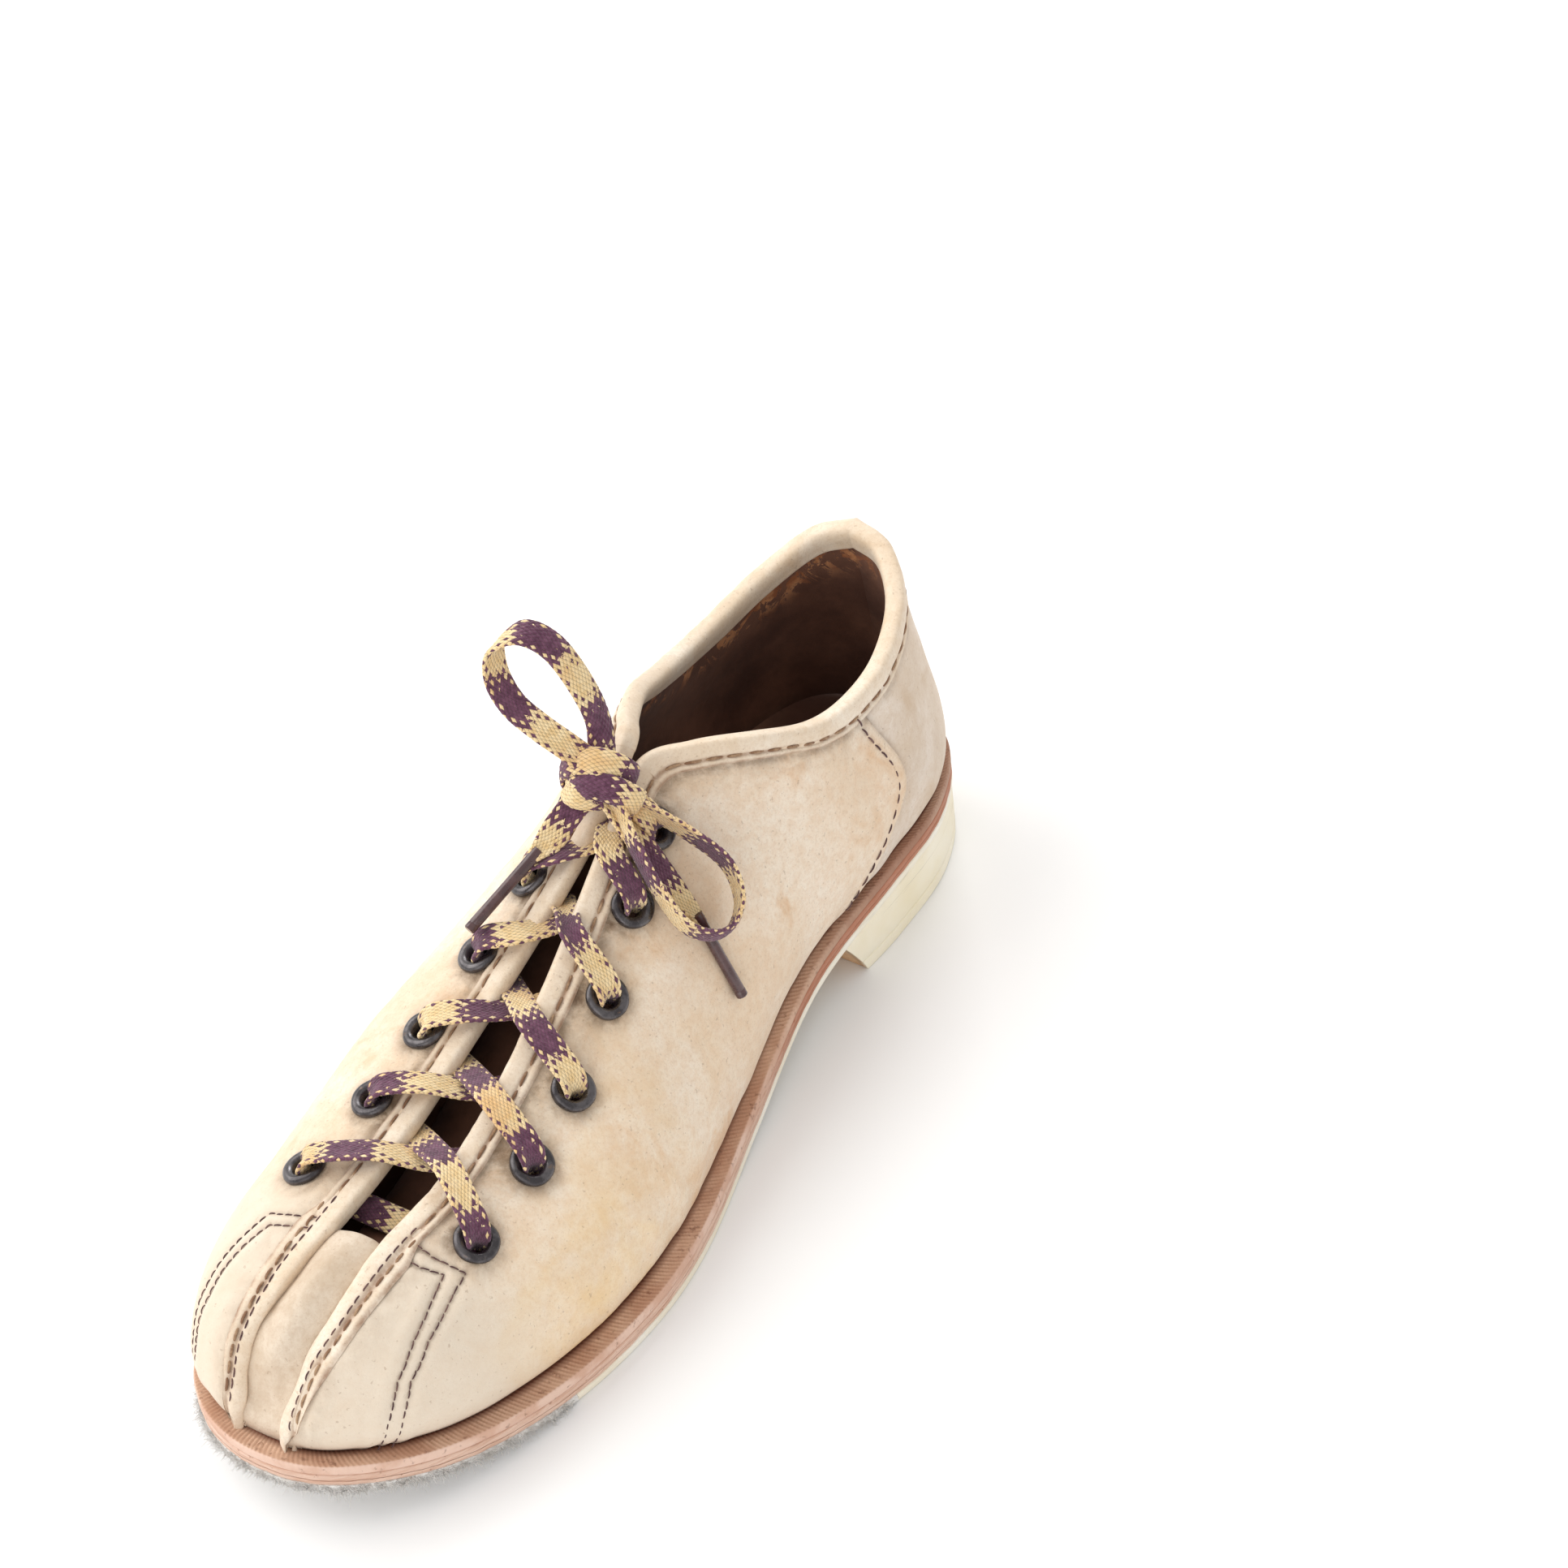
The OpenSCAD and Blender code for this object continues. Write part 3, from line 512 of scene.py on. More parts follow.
def lace_material():
    """Braided cells in the UV map, in mm: plum and cream blocks that break up into dots, with painted shade
    in the gaps between cells.
    """
    s = Shade("lace_cotton", Sheen_Weight=0.25, Sheen_Roughness=0.6, Specular_IOR_Level=0.15, Roughness=0.9)
    uv = s.nt.nodes.new("ShaderNodeUVMap")
    uv.uv_map = "weave"
    split = s.nt.nodes.new("ShaderNodeSeparateXYZ")
    s.put(split.inputs[0], uv.outputs[0])
    run = s.math("DIVIDE", split.outputs["X"], LACE_CELL[0])
    across = s.math("DIVIDE", split.outputs["Y"], LACE_CELL[1])
    p, q = s.math("ADD", run, across), s.math("SUBTRACT", run, across)
    cell_p, cell_q = s.math("FLOOR", p), s.math("FLOOR", q)
    mid_x = s.math("MULTIPLY", s.math("ADD", s.math("ADD", cell_p, cell_q), 1.0), LACE_CELL[0] / 2)
    mid_y = s.math("ABSOLUTE", s.math("MULTIPLY", s.math("SUBTRACT", cell_p, cell_q), LACE_CELL[1] / 2))
    block = s.math("COSINE", s.math("MULTIPLY", mid_x, 2 * math.pi / LACE_REPEAT))
    edge = s.ramp(mid_y, 1.2, 3.2, 0.34, 1.3)
    odd_p = s.math("ABSOLUTE", s.math("MODULO", cell_p, 2.0))
    odd_q = s.math("ABSOLUTE", s.math("MODULO", cell_q, 2.0))
    both_odd = s.math("MULTIPLY", odd_p, odd_q)
    both_even = s.math("MULTIPLY", s.math("SUBTRACT", 1.0, odd_p), s.math("SUBTRACT", 1.0, odd_q))
    dots = s.math("MULTIPLY", s.math("SUBTRACT", both_even, both_odd), edge)
    ragged = s.ramp(s.noise(420, 3, 0.7), 0.3, 0.7, -0.25, 0.35)
    cream_share = s.math("GREATER_THAN", s.math("ADD", s.math("ADD", block, dots), ragged), 0.0)
    plum = s.mix(s.ramp(s.noise(500, 4, 0.7), 0.3, 0.7), rgb(84, 44, 68), rgb(122, 78, 102))
    cream = s.mix(s.ramp(s.noise(420, 4, 0.7), 0.3, 0.7), rgb(236, 202, 144), rgb(250, 226, 180))
    soiled = s.ramp(s.noise(55, 3, 0.6), 0.5, 0.66, 0, 0.6)
    cream = s.mix(soiled, cream, rgb(226, 176, 116))
    colour = s.mix(cream_share, plum, cream)
    yarn = s.math("ABSOLUTE", s.math("SINE", s.math("MULTIPLY",
                                                    s.math("ADD", p, s.math("MULTIPLY", q, 3.0)), 3.14159)))
    bulge = s.math("MULTIPLY", s.math("ABSOLUTE", s.math("SINE", s.math("MULTIPLY", p, math.pi))),
                   s.math("ABSOLUTE", s.math("SINE", s.math("MULTIPLY", q, math.pi))))
    # painted shade: dark colour in the gaps between braid cells
    braid_gap_shade = s.ramp(bulge, 0.0, 0.35, 0.55, 1.0)
    shaded = s.mix(braid_gap_shade, rgb(60, 38, 40), colour)
    height = s.math("ADD", s.math("MULTIPLY", yarn, 0.25), bulge)
    return s.finish(shaded, None, s.bump(s.math("ADD", height, s.math("MULTIPLY", s.noise(1600, 3), 0.5)),
                                         0.22, 0.8))


def thread_material(name, base, worn):
    s = Shade(name, Sheen_Weight=0.2, Specular_IOR_Level=0.2, Roughness=0.8)
    colour = s.mix(s.ramp(s.noise(300, 4, 0.7), 0.4, 0.65), base, worn)
    return s.finish(colour, None, s.bump(s.noise(2200, 3, 0.6, 0, (1, 1, 3)), 0.08, 0.8))


def plain(name, base, other, scale, rough, bump_mm, **sockets):
    s = Shade(name, **sockets)
    colour = s.mix(s.ramp(s.noise(scale, 4, 0.65), 0.35, 0.65), base, other)
    return s.finish(colour, s.ramp(s.noise(scale * 2), 0.3, 0.7, rough - 0.08, rough + 0.08),
                    s.bump(s.noise(scale * 8, 4), bump_mm, 0.8))


lining_skin = lining_material()
insole_skin = dark_sole_leather()
welt_skin = welt_material()
midsole_skin = midsole_material()
rubber_skin = rubber_material("white_rubber", rgb(248, 244, 232), rgb(240, 231, 210), 0.2)
heel_skin = rubber_material("heel_rubber", rgb(248, 241, 222), rgb(240, 229, 200), 0.4)
suede_skin = suede_material()
enamel = enamel_material()
lace_skin = lace_material()
thread_dark = thread_material("thread_dark", rgb(78, 52, 54), rgb(118, 90, 84))
thread_brown = thread_material("thread_brown", rgb(132, 98, 74), rgb(176, 146, 116))
aglet_skin = plain("aglet_plastic", rgb(66, 40, 42), rgb(88, 58, 58), 200, 0.3, 0.008,
                   Coat_Weight=0.6, Coat_Roughness=0.15)
INNER_SKINS = {
    "cork_filler": plain("cork", rgb(150, 108, 70), rgb(104, 70, 42), 400, 0.85, 0.3),
    "shank": plain("shank_steel", rgb(150, 150, 152), rgb(120, 120, 122), 200, 0.35, 0.02, Metallic=1.0),
    "heel_nails": plain("nail_steel", rgb(160, 158, 154), rgb(112, 104, 96), 500, 0.4, 0.02, Metallic=1.0),
    "eyelet_stay": plain("stay_fabric", rgb(178, 158, 124), rgb(150, 128, 96), 900, 0.85, 0.1),
    "board": plain("counter_board", rgb(150, 118, 84), rgb(126, 96, 66), 300, 0.8, 0.1)}

# ---------------------------------------------------------------- camera
AZIMUTH, ELEVATION, ROLL = (math.radians(x) for x in (34.68, 41.17, -7.24))
TARGET, DISTANCE = Vector((37.95, 38.72, 90.31)) * MM, 0.95
back = Vector((math.sin(AZIMUTH) * math.cos(ELEVATION), -math.cos(AZIMUTH) * math.cos(ELEVATION),
               math.sin(ELEVATION)))
level = Vector((math.cos(AZIMUTH), math.sin(AZIMUTH), 0))
steep = back.cross(level)
right = level * math.cos(ROLL) + steep * math.sin(ROLL)
upward = steep * math.cos(ROLL) - level * math.sin(ROLL)
cam_data = bpy.data.cameras.new("camera")
cam_data.sensor_width, cam_data.lens = 36, 91.97
cam_data.clip_start, cam_data.clip_end = 0.05, 20
camera = bpy.data.objects.new("camera", cam_data)
camera.matrix_world = Matrix.Translation(TARGET + back
                                         * DISTANCE) @ Matrix((right, upward, back)).transposed().to_4x4()
bpy.context.scene.collection.objects.link(camera)
bpy.context.scene.camera = camera

# ---------------------------------------------------------------- laces
EYELET_U = np.array([0.25, 0.316, 0.372, 0.43, 0.487, 0.542])
EYELET_V = {OUTER: np.array([0.72, 0.74, 0.74, 0.77, 0.82, 0.86]),
            INNER: np.array([0.76, 0.84, 0.87, 0.88, 0.88, 0.87])}
EYELET_P = {s: on_side(s, EYELET_U, EYELET_V[s]) for s in SIDE}
EYELET_N = {s: normal(s, EYELET_U, EYELET_V[s]) for s in SIDE}
KNOT = np.array([0, 18, 95.0])


def lace_solid(route, wide, curl, width=LACE_W, thick=LACE_T, start=0.0, twist=None, step=0.34):
    """Flat braided tube along a route in mm. wide gives the direction of its width and curl how far,
    in radians, the width is rolled up. Returns points, faces, UV pairs and the centreline."""
    dense = np.linspace(0, 1, 40 * len(route))
    track = along(route, dense)
    keys = np.concatenate([track, along(wide, dense), along(curl, dense)], 1)
    if np.ndim(width):
        keys = np.concatenate([keys, along(width, dense)], 1)
    keys, run = resample(keys, step)
    p, hint, bend = keys[:, :3], keys[:, 3:6], keys[:, 6]
    w = keys[:, 7] if np.ndim(width) else np.full(len(p), width)
    t = unit(np.gradient(p, axis=0))
    across = unit(hint - t * np.sum(hint * t, axis=1, keepdims=True))
    up = np.cross(t, across)
    if twist is not None:
        a = along(twist, run / run[-1])
        across, up = across * np.cos(a) + up * np.sin(a), up * np.cos(a) - across * np.sin(a)
    x = np.sin(np.linspace(-np.pi / 2, np.pi / 2, 17))
    x = np.concatenate([x, x[-2:0:-1]])
    face = np.concatenate([np.ones(17), -np.ones(15)])
    face[[0, 16]] = 0
    s = x[None] * w[:, None] / 2
    body = np.sqrt(np.clip(1 - np.abs(x) ** 3.2, 0, 1)) * face * thick / 2
    cell_p = run[:, None] / LACE_CELL[0] + s / LACE_CELL[1]
    cell_q = run[:, None] / LACE_CELL[0] - s / LACE_CELL[1]
    relief = 0.3 * np.sqrt(np.abs(np.sin(np.pi * cell_p) * np.sin(np.pi * cell_q))) - 0.12
    h = body[None] + relief * (face + 0.4 * (face == 0))[None]
    radius = w[:, None] / np.where(np.abs(bend) < 0.02, 0.02, bend)[:, None]
    angle = s / radius
    flat_x = (radius - h) * np.sin(angle)
    flat_y = radius - (radius - h) * np.cos(angle)
    rings = p[:, None] + across[:, None] * flat_x[..., None] + up[:, None] * flat_y[..., None]
    verts, faces = rings_solid(rings)
    uv = np.stack([np.broadcast_to(run[:, None] + start, s.shape), s], -1)
    return verts, faces, uv, p


def lace_piece(name, parts, replaces=(), **kw):
    """One piece from one or several lace runs."""
    verts, faces, uvs, count = [], [], [], 0
    for v, f, uv, _ in parts:
        verts.append(v)
        uvs.append(uv.reshape(-1, 2))
        faces += [np.asarray(x) + count for x in f]
        count += len(v)
    return add_mesh(name, np.vstack(verts), faces, lace_skin, "lace_cotton", uv=np.vstack(uvs),
                    replaces=replaces, sharp=80, **kw)


LOOP_UPPER = [[0, 20, 99], [-3, 25, 106], [-6, 25, 116], [-12, 24, 127], [-19, 22, 131], [-25, 19, 127],
              [-25, 17, 120], [-20, 15, 114], [-13, 15, 109], [-6, 16, 104], [-1, 17, 99]]
LOOP_LOWER = [[4, 19, 93], [11, 21, 87], [19, 24, 80], [27, 26, 72], [32, 23, 65], [33, 17, 61],
              [31, 11, 62], [26, 7, 67], [19, 8, 75], [12, 11, 83], [5, 15, 91]]
TAIL_LATERAL = [[4, 16, 90], [12, 15, 79.5], [19, 14, 70.5], [26, 14, 62]]
TAIL_MEDIAL = [[-3, 15, 91], [-7, 10, 86], [-9, 6, 82], [-11, 1, 80]]
AGLET_LATERAL = np.array([[26, 14, 62], [36, 13, 42]], float)
AGLET_MEDIAL = np.array([[-11, 1, 80], [-17, -20, 72]], float)

def bow_half(loop, tail, loop_wide, tail_wide, loop_curl, tail_curl, start):
    """One half of the bow: the loop, then on through the knot and out as the tail."""
    n = len(tail)
    bends = np.concatenate([along(loop_curl, np.linspace(0, 1, len(loop))), tail_curl])
    return lace_solid(loop + tail, [loop_wide] * len(loop) + [tail_wide] * n, bends,
                      width=[[LACE_W]] * (len(loop) + n - 2) + [[7.0], [3.4]], start=start)


bow_upper = bow_half(LOOP_UPPER, TAIL_LATERAL, [0.2, 1, 0.3], [0, 1, 0.2], [0.9, 0.3, 0.2, 0.5, 1.0],
                     [[0.9], [0.4], [0.4], [2.4]], 4)
bow_lower = bow_half(LOOP_LOWER, TAIL_MEDIAL, [0.55, -0.2, 0.8], [0.9, 0.4, -0.2], [0.8, 0.3, 0.2, 0.4, 0.9],
                     [[0.9], [0.4], [0.6], [2.4]], 13)


def aglet_piece(name, ends, node):
    """Film-wrapped lace tip: a slightly waisted tube with a rolled end and the film's seam."""
    d = unit(ends[1] - ends[0])
    length = np.linalg.norm(ends[1] - ends[0])
    s = np.array([-2.5, -2.3, -1.0, 1, 3, 6, 9, 12, 15, length - 2.2, length - 2, length - 1.8, length
                  - 0.4, length - 0.1])
    r = np.array([0.9, 1.5, 1.58, 1.45, 1.4, 1.38, 1.36, 1.36, 1.38, 1.4, 1.3, 1.42, 1.4, 1.15])
    a = np.arange(40) * 2 * np.pi / 40
    seam = 1 + 0.09 * (a < 3.3) * smooth(a / 0.25)
    x = unit(np.cross(d, [0.3, 0.2, 1]))
    y = np.cross(d, x)
    rings = (ends[0] + s[:, None, None] * d + (r[:, None] * seam)[..., None]
             * (np.cos(a)[:, None] * x + np.sin(a)[:, None] * y)[None])
    verts, faces = rings_solid(rings)
    return add_mesh(name, verts, faces, aglet_skin, "aglet_plastic", replaces=(node,), sharp=35)


aglet_out = aglet_piece("aglet_lateral_tip", AGLET_LATERAL, "aglet_lateral")
aglet_in = aglet_piece("aglet_medial_tip", AGLET_MEDIAL, "aglet_medial")
lace_piece("bow_upper_lace", [bow_upper], ("bow_loop_upper", "lace_tail_lateral"))
lace_piece("bow_lower_lace", [bow_lower], ("bow_loop_lower", "lace_tail_medial"))


# Each strand comes up through its eyelet, over its facing and across, then under the other facing.
STRAND_START = {OUTER: [8, 6.5, 20, 15, 2], INNER: [22, 4, 17, 7, 25]}     # where the colour blocks fall


def strand(side, i):
    other = -side
    p, n = EYELET_P[side][i], EYELET_N[side][i]
    q, m = EYELET_P[other][i + 1], EYELET_N[other][i + 1]
    step = EYELET_U[i + 1] - EYELET_U[i]
    lower = 1.9 if side == INNER else 0.0
    over_u, under_u = EYELET_U[i] + 0.35 * step, EYELET_U[i] + (0.95 if side == OUTER else 0.75) * step
    over = on_side(side, over_u, 0.985) + normal(side, over_u, 0.985) * (3.4 + 0.4 * (1.9 - lower))
    under = on_side(other, under_u, 0.97) - normal(other, under_u, 0.97) * (UPPER_T + 3.5 - lower)
    toward, away = unit(over - p), unit(q - under)
    over_up, mid = unit(n + [0, 0, 1.5]), (over + under) / 2 + [0, 0, 1.2 if side == OUTER else -1.2]
    wide_start = np.cross(n, toward)
    route = [p - n * 4, p - n * 1.5 + toward * 0.3, p + n * 1.6 + toward * 0.9, p + n * 3.4 + toward * 4.5,
             over, mid, under, q - m * (UPPER_T + 2.8) - away * 5, q - m * (UPPER_T + 1.6) - away * 1, q - m
             * 3]
    wide = [wide_start, wide_start, wide_start, wide_start, np.cross(over_up, unit(mid - over)),
            np.cross([0, 0, 1], unit(under - over)), np.cross(m, away), np.cross(m, away), np.cross(m, away)]
    curl = [[3.0], [2.8], [2.2], [0.9], [0.35], [0.3], [0.5], [1.2], [2.6], [2.8]]
    if side == OUTER and i == 3:
        curl[4:6] = [[2.2], [2.4]]
    if side == OUTER and i == 0 or side == INNER and i == 2:
        curl[4:6] = [[0.8], [0.5]]
    lean = 0.12 * math.sin(5 * i + side)
    return lace_solid(route, wide, curl, start=STRAND_START[side][i], twist=[0, lean, -lean, 0])


for i in range(5):
    for side in (OUTER, INNER):
        lace_piece(f"lace_{SIDE[side]}_{i + 1}", [strand(side, i)], (f"lace_cross_{i + 1}",))

p, n, q, m = EYELET_P[OUTER][0], EYELET_N[OUTER][0], EYELET_P[INNER][0], EYELET_N[INNER][0]
down = UPPER_T + 2.6
lace_piece("lace_bar_strip", [lace_solid(
    [p - n * 3, p - n * (down - 1) - [1, 0, 0], p - n * down - [5, 0, 0], (p + q) / 2 - [0, 0, 5],
     q - m * down + [5, 0, 0], q - m * (down - 1) + [1, 0, 0], q - m * 3],
    [[0, 1, 0.35]] * 2, [2.6, 1.6, 0.4, 0.2, 0.4, 1.6, 2.6], start=9)], ("lace_bar",))

ends = []
for side in (OUTER, INNER):
    p, n = EYELET_P[side][5], EYELET_N[side][5]
    toward = unit(KNOT - p)
    w = np.cross(n, toward)
    ends.append(lace_solid(
        [p - n * 4, p - n * 1.5, p + n * 1.8 + toward * 0.8, p + n * 3.6 + toward * 4, KNOT
         + [side * 5, 1, -3], KNOT],
        [w, w, w, w, w], [[3.0], [2.8], [2.0], [0.7], [0.4], [0.8]], start=12 if side == OUTER else 20))
lace_piece("lace_ends_strips", ends, ("lace_ends",))

# The knot: wraps of the same lace, laid out on axes that face across, up and out of the bow
kx, ky, kz = (np.array(v) for v in (right, upward, back))


def knot_wrap(rows, wide, start, curl=0.9, width=LACE_W):
    route = [KNOT + a * kx + b * ky + c * kz for a, b, c in rows]
    hints = [a * kx + b * ky + c * kz for a, b, c in wide]
    return lace_solid(route, hints, [[curl]] * 3, width=width, start=start)


knot = [
    knot_wrap([(-6.5, -1, -6), (-9, 2.6, -2), (-7, 4.2, 3), (-1.5, 4.6, 6.2), (4, 2.8, 5.5), (7.5, 0.2, 2),
               (7, -1.5, -4)],
              [(0.2, 1, 0.2), (0.15, 1, -0.3), (0.1, 1, -0.4), (0.25, 1, -0.1), (0.5, 1, 0.2),
               (0.5, 1, 0.3)], 8, -0.9),
    knot_wrap([(-5, 0.5, -5), (-7.6, -1.6, 0), (-4.6, -1.4, 4.6), (0.5, -1.8, 6.4), (5.5, -3.6, 5.6),
               (9, -5.8, 1.6), (8, -6, -4)],
              [(-0.1, 1, 0), (-0.05, 1, 0.1), (0.05, 1, 0.2), (0.4, 1, 0.2), (0.6, 1, 0.3), (0.6, 1, 0.2)],
              25, -0.8),
    knot_wrap([(-3, 3, -5), (-5.5, 0, -2.5), (-8, -2.4, 1), (-6, -4.6, 3.4), (-1.5, -5, 3), (2, -4, -1)],
              [(0.6, 0.8, 0.1), (0.7, 0.6, 0.3), (0.4, 0.8, 0.5), (0, 1, 0.5), (-0.3, 1, 0.2)], 15, -0.7,
              5.5)]
lace_piece("bow_knot_wraps", knot, ("bow_knot",))

# ---------------------------------------------------------------- upper
threads = {"dark": [], "brown": []}


def sew(kind, points, normals, length=2.5, gap=0.45, radius=0.24, seed=0):
    """Collects a row of stitches along points that lie on a surface."""
    r = np.random.default_rng(seed)
    track, run = resample(np.concatenate([points, normals], 1), 0.1)
    count = int(run[-1] // (length + gap))
    x = np.linspace(0, 1, 7)
    starts = (run[-1] / count) * (np.arange(count) + r.uniform(-0.06, 0.06, count) + 0.08)
    at = starts[:, None] + x * (run[-1] / count - gap) * r.uniform(0.92, 1.04, (count, 1))
    rows = np.stack([np.interp(at, run, track[:, k]) for k in range(6)], -1)
    n = unit(rows[..., 3:])
    t = unit(np.gradient(rows[..., :3], axis=1))
    h = radius * (1.7 * np.sin(np.pi * x) ** 0.55 - 0.95)
    aside = np.cross(n, t) * (r.normal(0, 0.07, (count, 1, 1))
                              + np.array([-0.09, -0.05, 0, 0, 0, 0.05, 0.09])[:, None])
    threads[kind].append((rows[..., :3] + n * h[:, None] + aside, n, radius))


def toe_swell(side, u, p):
    """How far the leather bulges out over the welt round the toe, at points p of row u."""
    foot = np.linalg.norm(p - on_side(side, u, 0), axis=-1)
    return 1.4 * bell(foot - 7, 6) * smooth((-88 - p[..., 1]) / 30)


def surface_line(side, places, count=200, height=0.0):
    """Points and normals on a side along a broken line of (u, v) places."""
    places = np.asarray(places, float)
    span = np.concatenate([[0], np.cumsum(np.linalg.norm(np.diff(on_side(side, *places.T), axis=0), axis=1))])
    at = np.linspace(0, span[-1], count)
    u, v = (np.interp(at, span, places[:, k]) for k in (0, 1))
    n, p = normal(side, u, v), on_side(side, u, v)
    return p + n * (toe_swell(side, u, p) + height)[:, None], n


# Twin stitched boxes beside the toe plug, from the facing round a corner and down to the welt
TOE_BOX = {
    OUTER: [[(0.222, 0.90), (0.224, 0.78), (0.23, 0.648), (0.2, 0.575), (0.17, 0.494), (0.14, 0.354),
             (0.12, 0.177), (0.106, 0.0)],
            [(0.207, 0.90), (0.211, 0.80), (0.219, 0.705), (0.19, 0.63), (0.16, 0.54), (0.13, 0.39),
             (0.109, 0.19), (0.095, 0.0)]],
    INNER: [[(0.208, 0.955), (0.208, 0.86), (0.208, 0.74), (0.175, 0.63), (0.145, 0.52), (0.118, 0.36),
             (0.1, 0.18), (0.09, 0.0)],
            [(0.196, 0.945), (0.197, 0.86), (0.197, 0.775), (0.165, 0.67), (0.133, 0.57), (0.106, 0.4),
             (0.088, 0.2), (0.078, 0.0)]]}
for side, rows in TOE_BOX.items():
    for k, row in enumerate(rows):
        sew("dark", *surface_line(side, row), length=2.1, gap=0.3, radius=0.19, seed=10 + k)
toe_rows = {side: np.vstack([surface_line(side, row)[0] for row in rows]) for side, rows in TOE_BOX.items()}


def edge_lift(side, u, w, h):
    """Point w below the top edge and h out from the leather."""
    u, w, h = np.broadcast_arrays(*(np.asarray(x, float) for x in (u, w, h)))
    w = np.minimum(w, 4 + 60 * u)
    v = below_edge(side, u, np.maximum(w, 0))
    top, _, d = edge_frame(side, u)
    on = on_side(side, u, v)
    p = on + np.minimum(w, 0)[..., None] * d
    return p + normal(side, u, np.minimum(v, 0.999)) * (h + toe_swell(side, u, on))[..., None]


def eyelet_distance(side, p):
    return np.min([np.linalg.norm(p - e, axis=-1) for e in EYELET_P[side]], axis=0)


def holes(side, p):
    """Cells of a grid that an eyelet's barrel passes through."""
    centre = (p[:-1, :-1] + p[1:, 1:]) / 2
    n = EYELET_N[side]
    removed = np.zeros(centre.shape[:2], bool)
    for e, axis in zip(EYELET_P[side], n):
        d = centre - e
        removed |= np.linalg.norm(d - (d @ axis)[..., None] * axis, axis=-1) < 4.0
    return removed


def make_vamp(side):
    a, b = graded(330, 190, 1.2), np.concatenate([[0, 0.006, 0.014], np.linspace(0.025, 1, 118)])
    a, b = np.meshgrid(a, b, indexing="ij")
    v = b * below_edge(side, a * 0.78, 2.0)
    u = a * seam_u(v)
    p, n = on_side(side, u, v), normal(side, u, v)
    eye = eyelet_distance(side, p)
    foot = np.linalg.norm(p - p[:, :1], axis=-1)
    seam = np.linalg.norm(p - p[-1:, :], axis=-1)
    edge = (1 - v / np.maximum(below_edge(side, u, 0.01), 0.01)) * 3 * np.linalg.norm(
        controls(side, u)[3] - controls(side, u)[2], axis=-1)
    row = nearest(p, toe_rows[side])
    free = 1 - bell(eye, 8)
    y = p[..., 1]
    lift = 0.34 * wave(p, 46, 3 + side) * free
    lift += 0.10 * wave(p * [1, 1.6, 1], 13, 8 + side) * free * smooth((y + 95) / 30)
    for at, depth, width in ((-66, 0.5, 3.2), (-54, 0.65, 3.6), (-43, 0.45, 3.0), (-31, 0.3, 3.2)):
        bend = at + 10 * np.sin((p[..., 2] - 10) / 16 + side) + 0.12 * (p[..., 0] * side)
        lift -= depth * bell(y - bend, width) * smooth(foot / 14) * smooth((34 - foot) / 16) * smooth(eye
                                                                                                      / 14)
    lift += 0.75 * (1 - smooth(seam / 15)) + 0.5 * bell(seam - 20, 9) * smooth(foot / 12)
    lift += 0.35 * bell(row - 2.6, 1.8) - 0.42 * bell(row, 0.75)
    lift += toe_swell(side, u, p)
    lift -= 1.3 * bell(foot, 1.9) + 0.5 * bell(edge - 6.6, 1.5) * smooth(u / 0.05)
    lift *= smooth(u / 0.03)
    outer = p + n * (lift - rounded(seam, 0.55))[..., None]
    inner = p - n * (LEATHER_T - 0.75 * (1 - smooth(seam / 15)))[..., None]
    warm = np.linalg.norm(p - [35, -42, 40], axis=-1)
    stain = np.linalg.norm((p - [41, -72, 20]) * [1, 0.75, 1], axis=-1) + 5 * wave(p, 34, 12)
    marks = {
        # painted shade mixed with grime: darker under the binding, at the foot of the upper, along the seam
        # and in the stitch grooves; real dirt round the eyelets
        "grime_and_shade": np.clip(0.62 * bell(np.maximum(eye - 5.4, 0), 2.6) + 0.5 * bell(edge - 6.6, 1.6)
                         * smooth((u - 0.2) / 0.1)
                         + 0.45 * bell(foot, 1.6) + 0.4 * bell(seam, 0.9) + 0.42 * bell(row, 0.55)
                         + 0.22 * bell(edge - 9, 5), 0, 1),
        "yellow": np.clip((0.4 * bell(stain, 16) + 0.14 * bell(stain - 18, 2)
                           + 0.7 * bell(foot - 2.2, 1.4) * bell(y + 66, 17)) * (side == OUTER)
                          + 0.16 * bell(warm, 34) + 0.04, 0, 1),
        "toe": smooth((-76 - y) / 26)}
    verts, faces = sheet_solid(outer, inner, holes(side, p))
    both = {key: np.concatenate([m.ravel(), m.ravel()]) for key, m in marks.items()}
    add_mesh(f"vamp_{SIDE[side]}_leather", verts, faces, vamp_skin, "vamp_leather", marks=both,
             replaces=(f"vamp_{SIDE[side]}",))
    line_v = np.linspace(0.015, 0.945, 160)
    lu = seam_u(line_v) - 0.0125
    ln = normal(side, lu, line_v)
    sew("dark", on_side(side, lu, line_v) + ln * 0.72, ln, length=3.0, gap=0.55, radius=0.27, seed=30 + side)


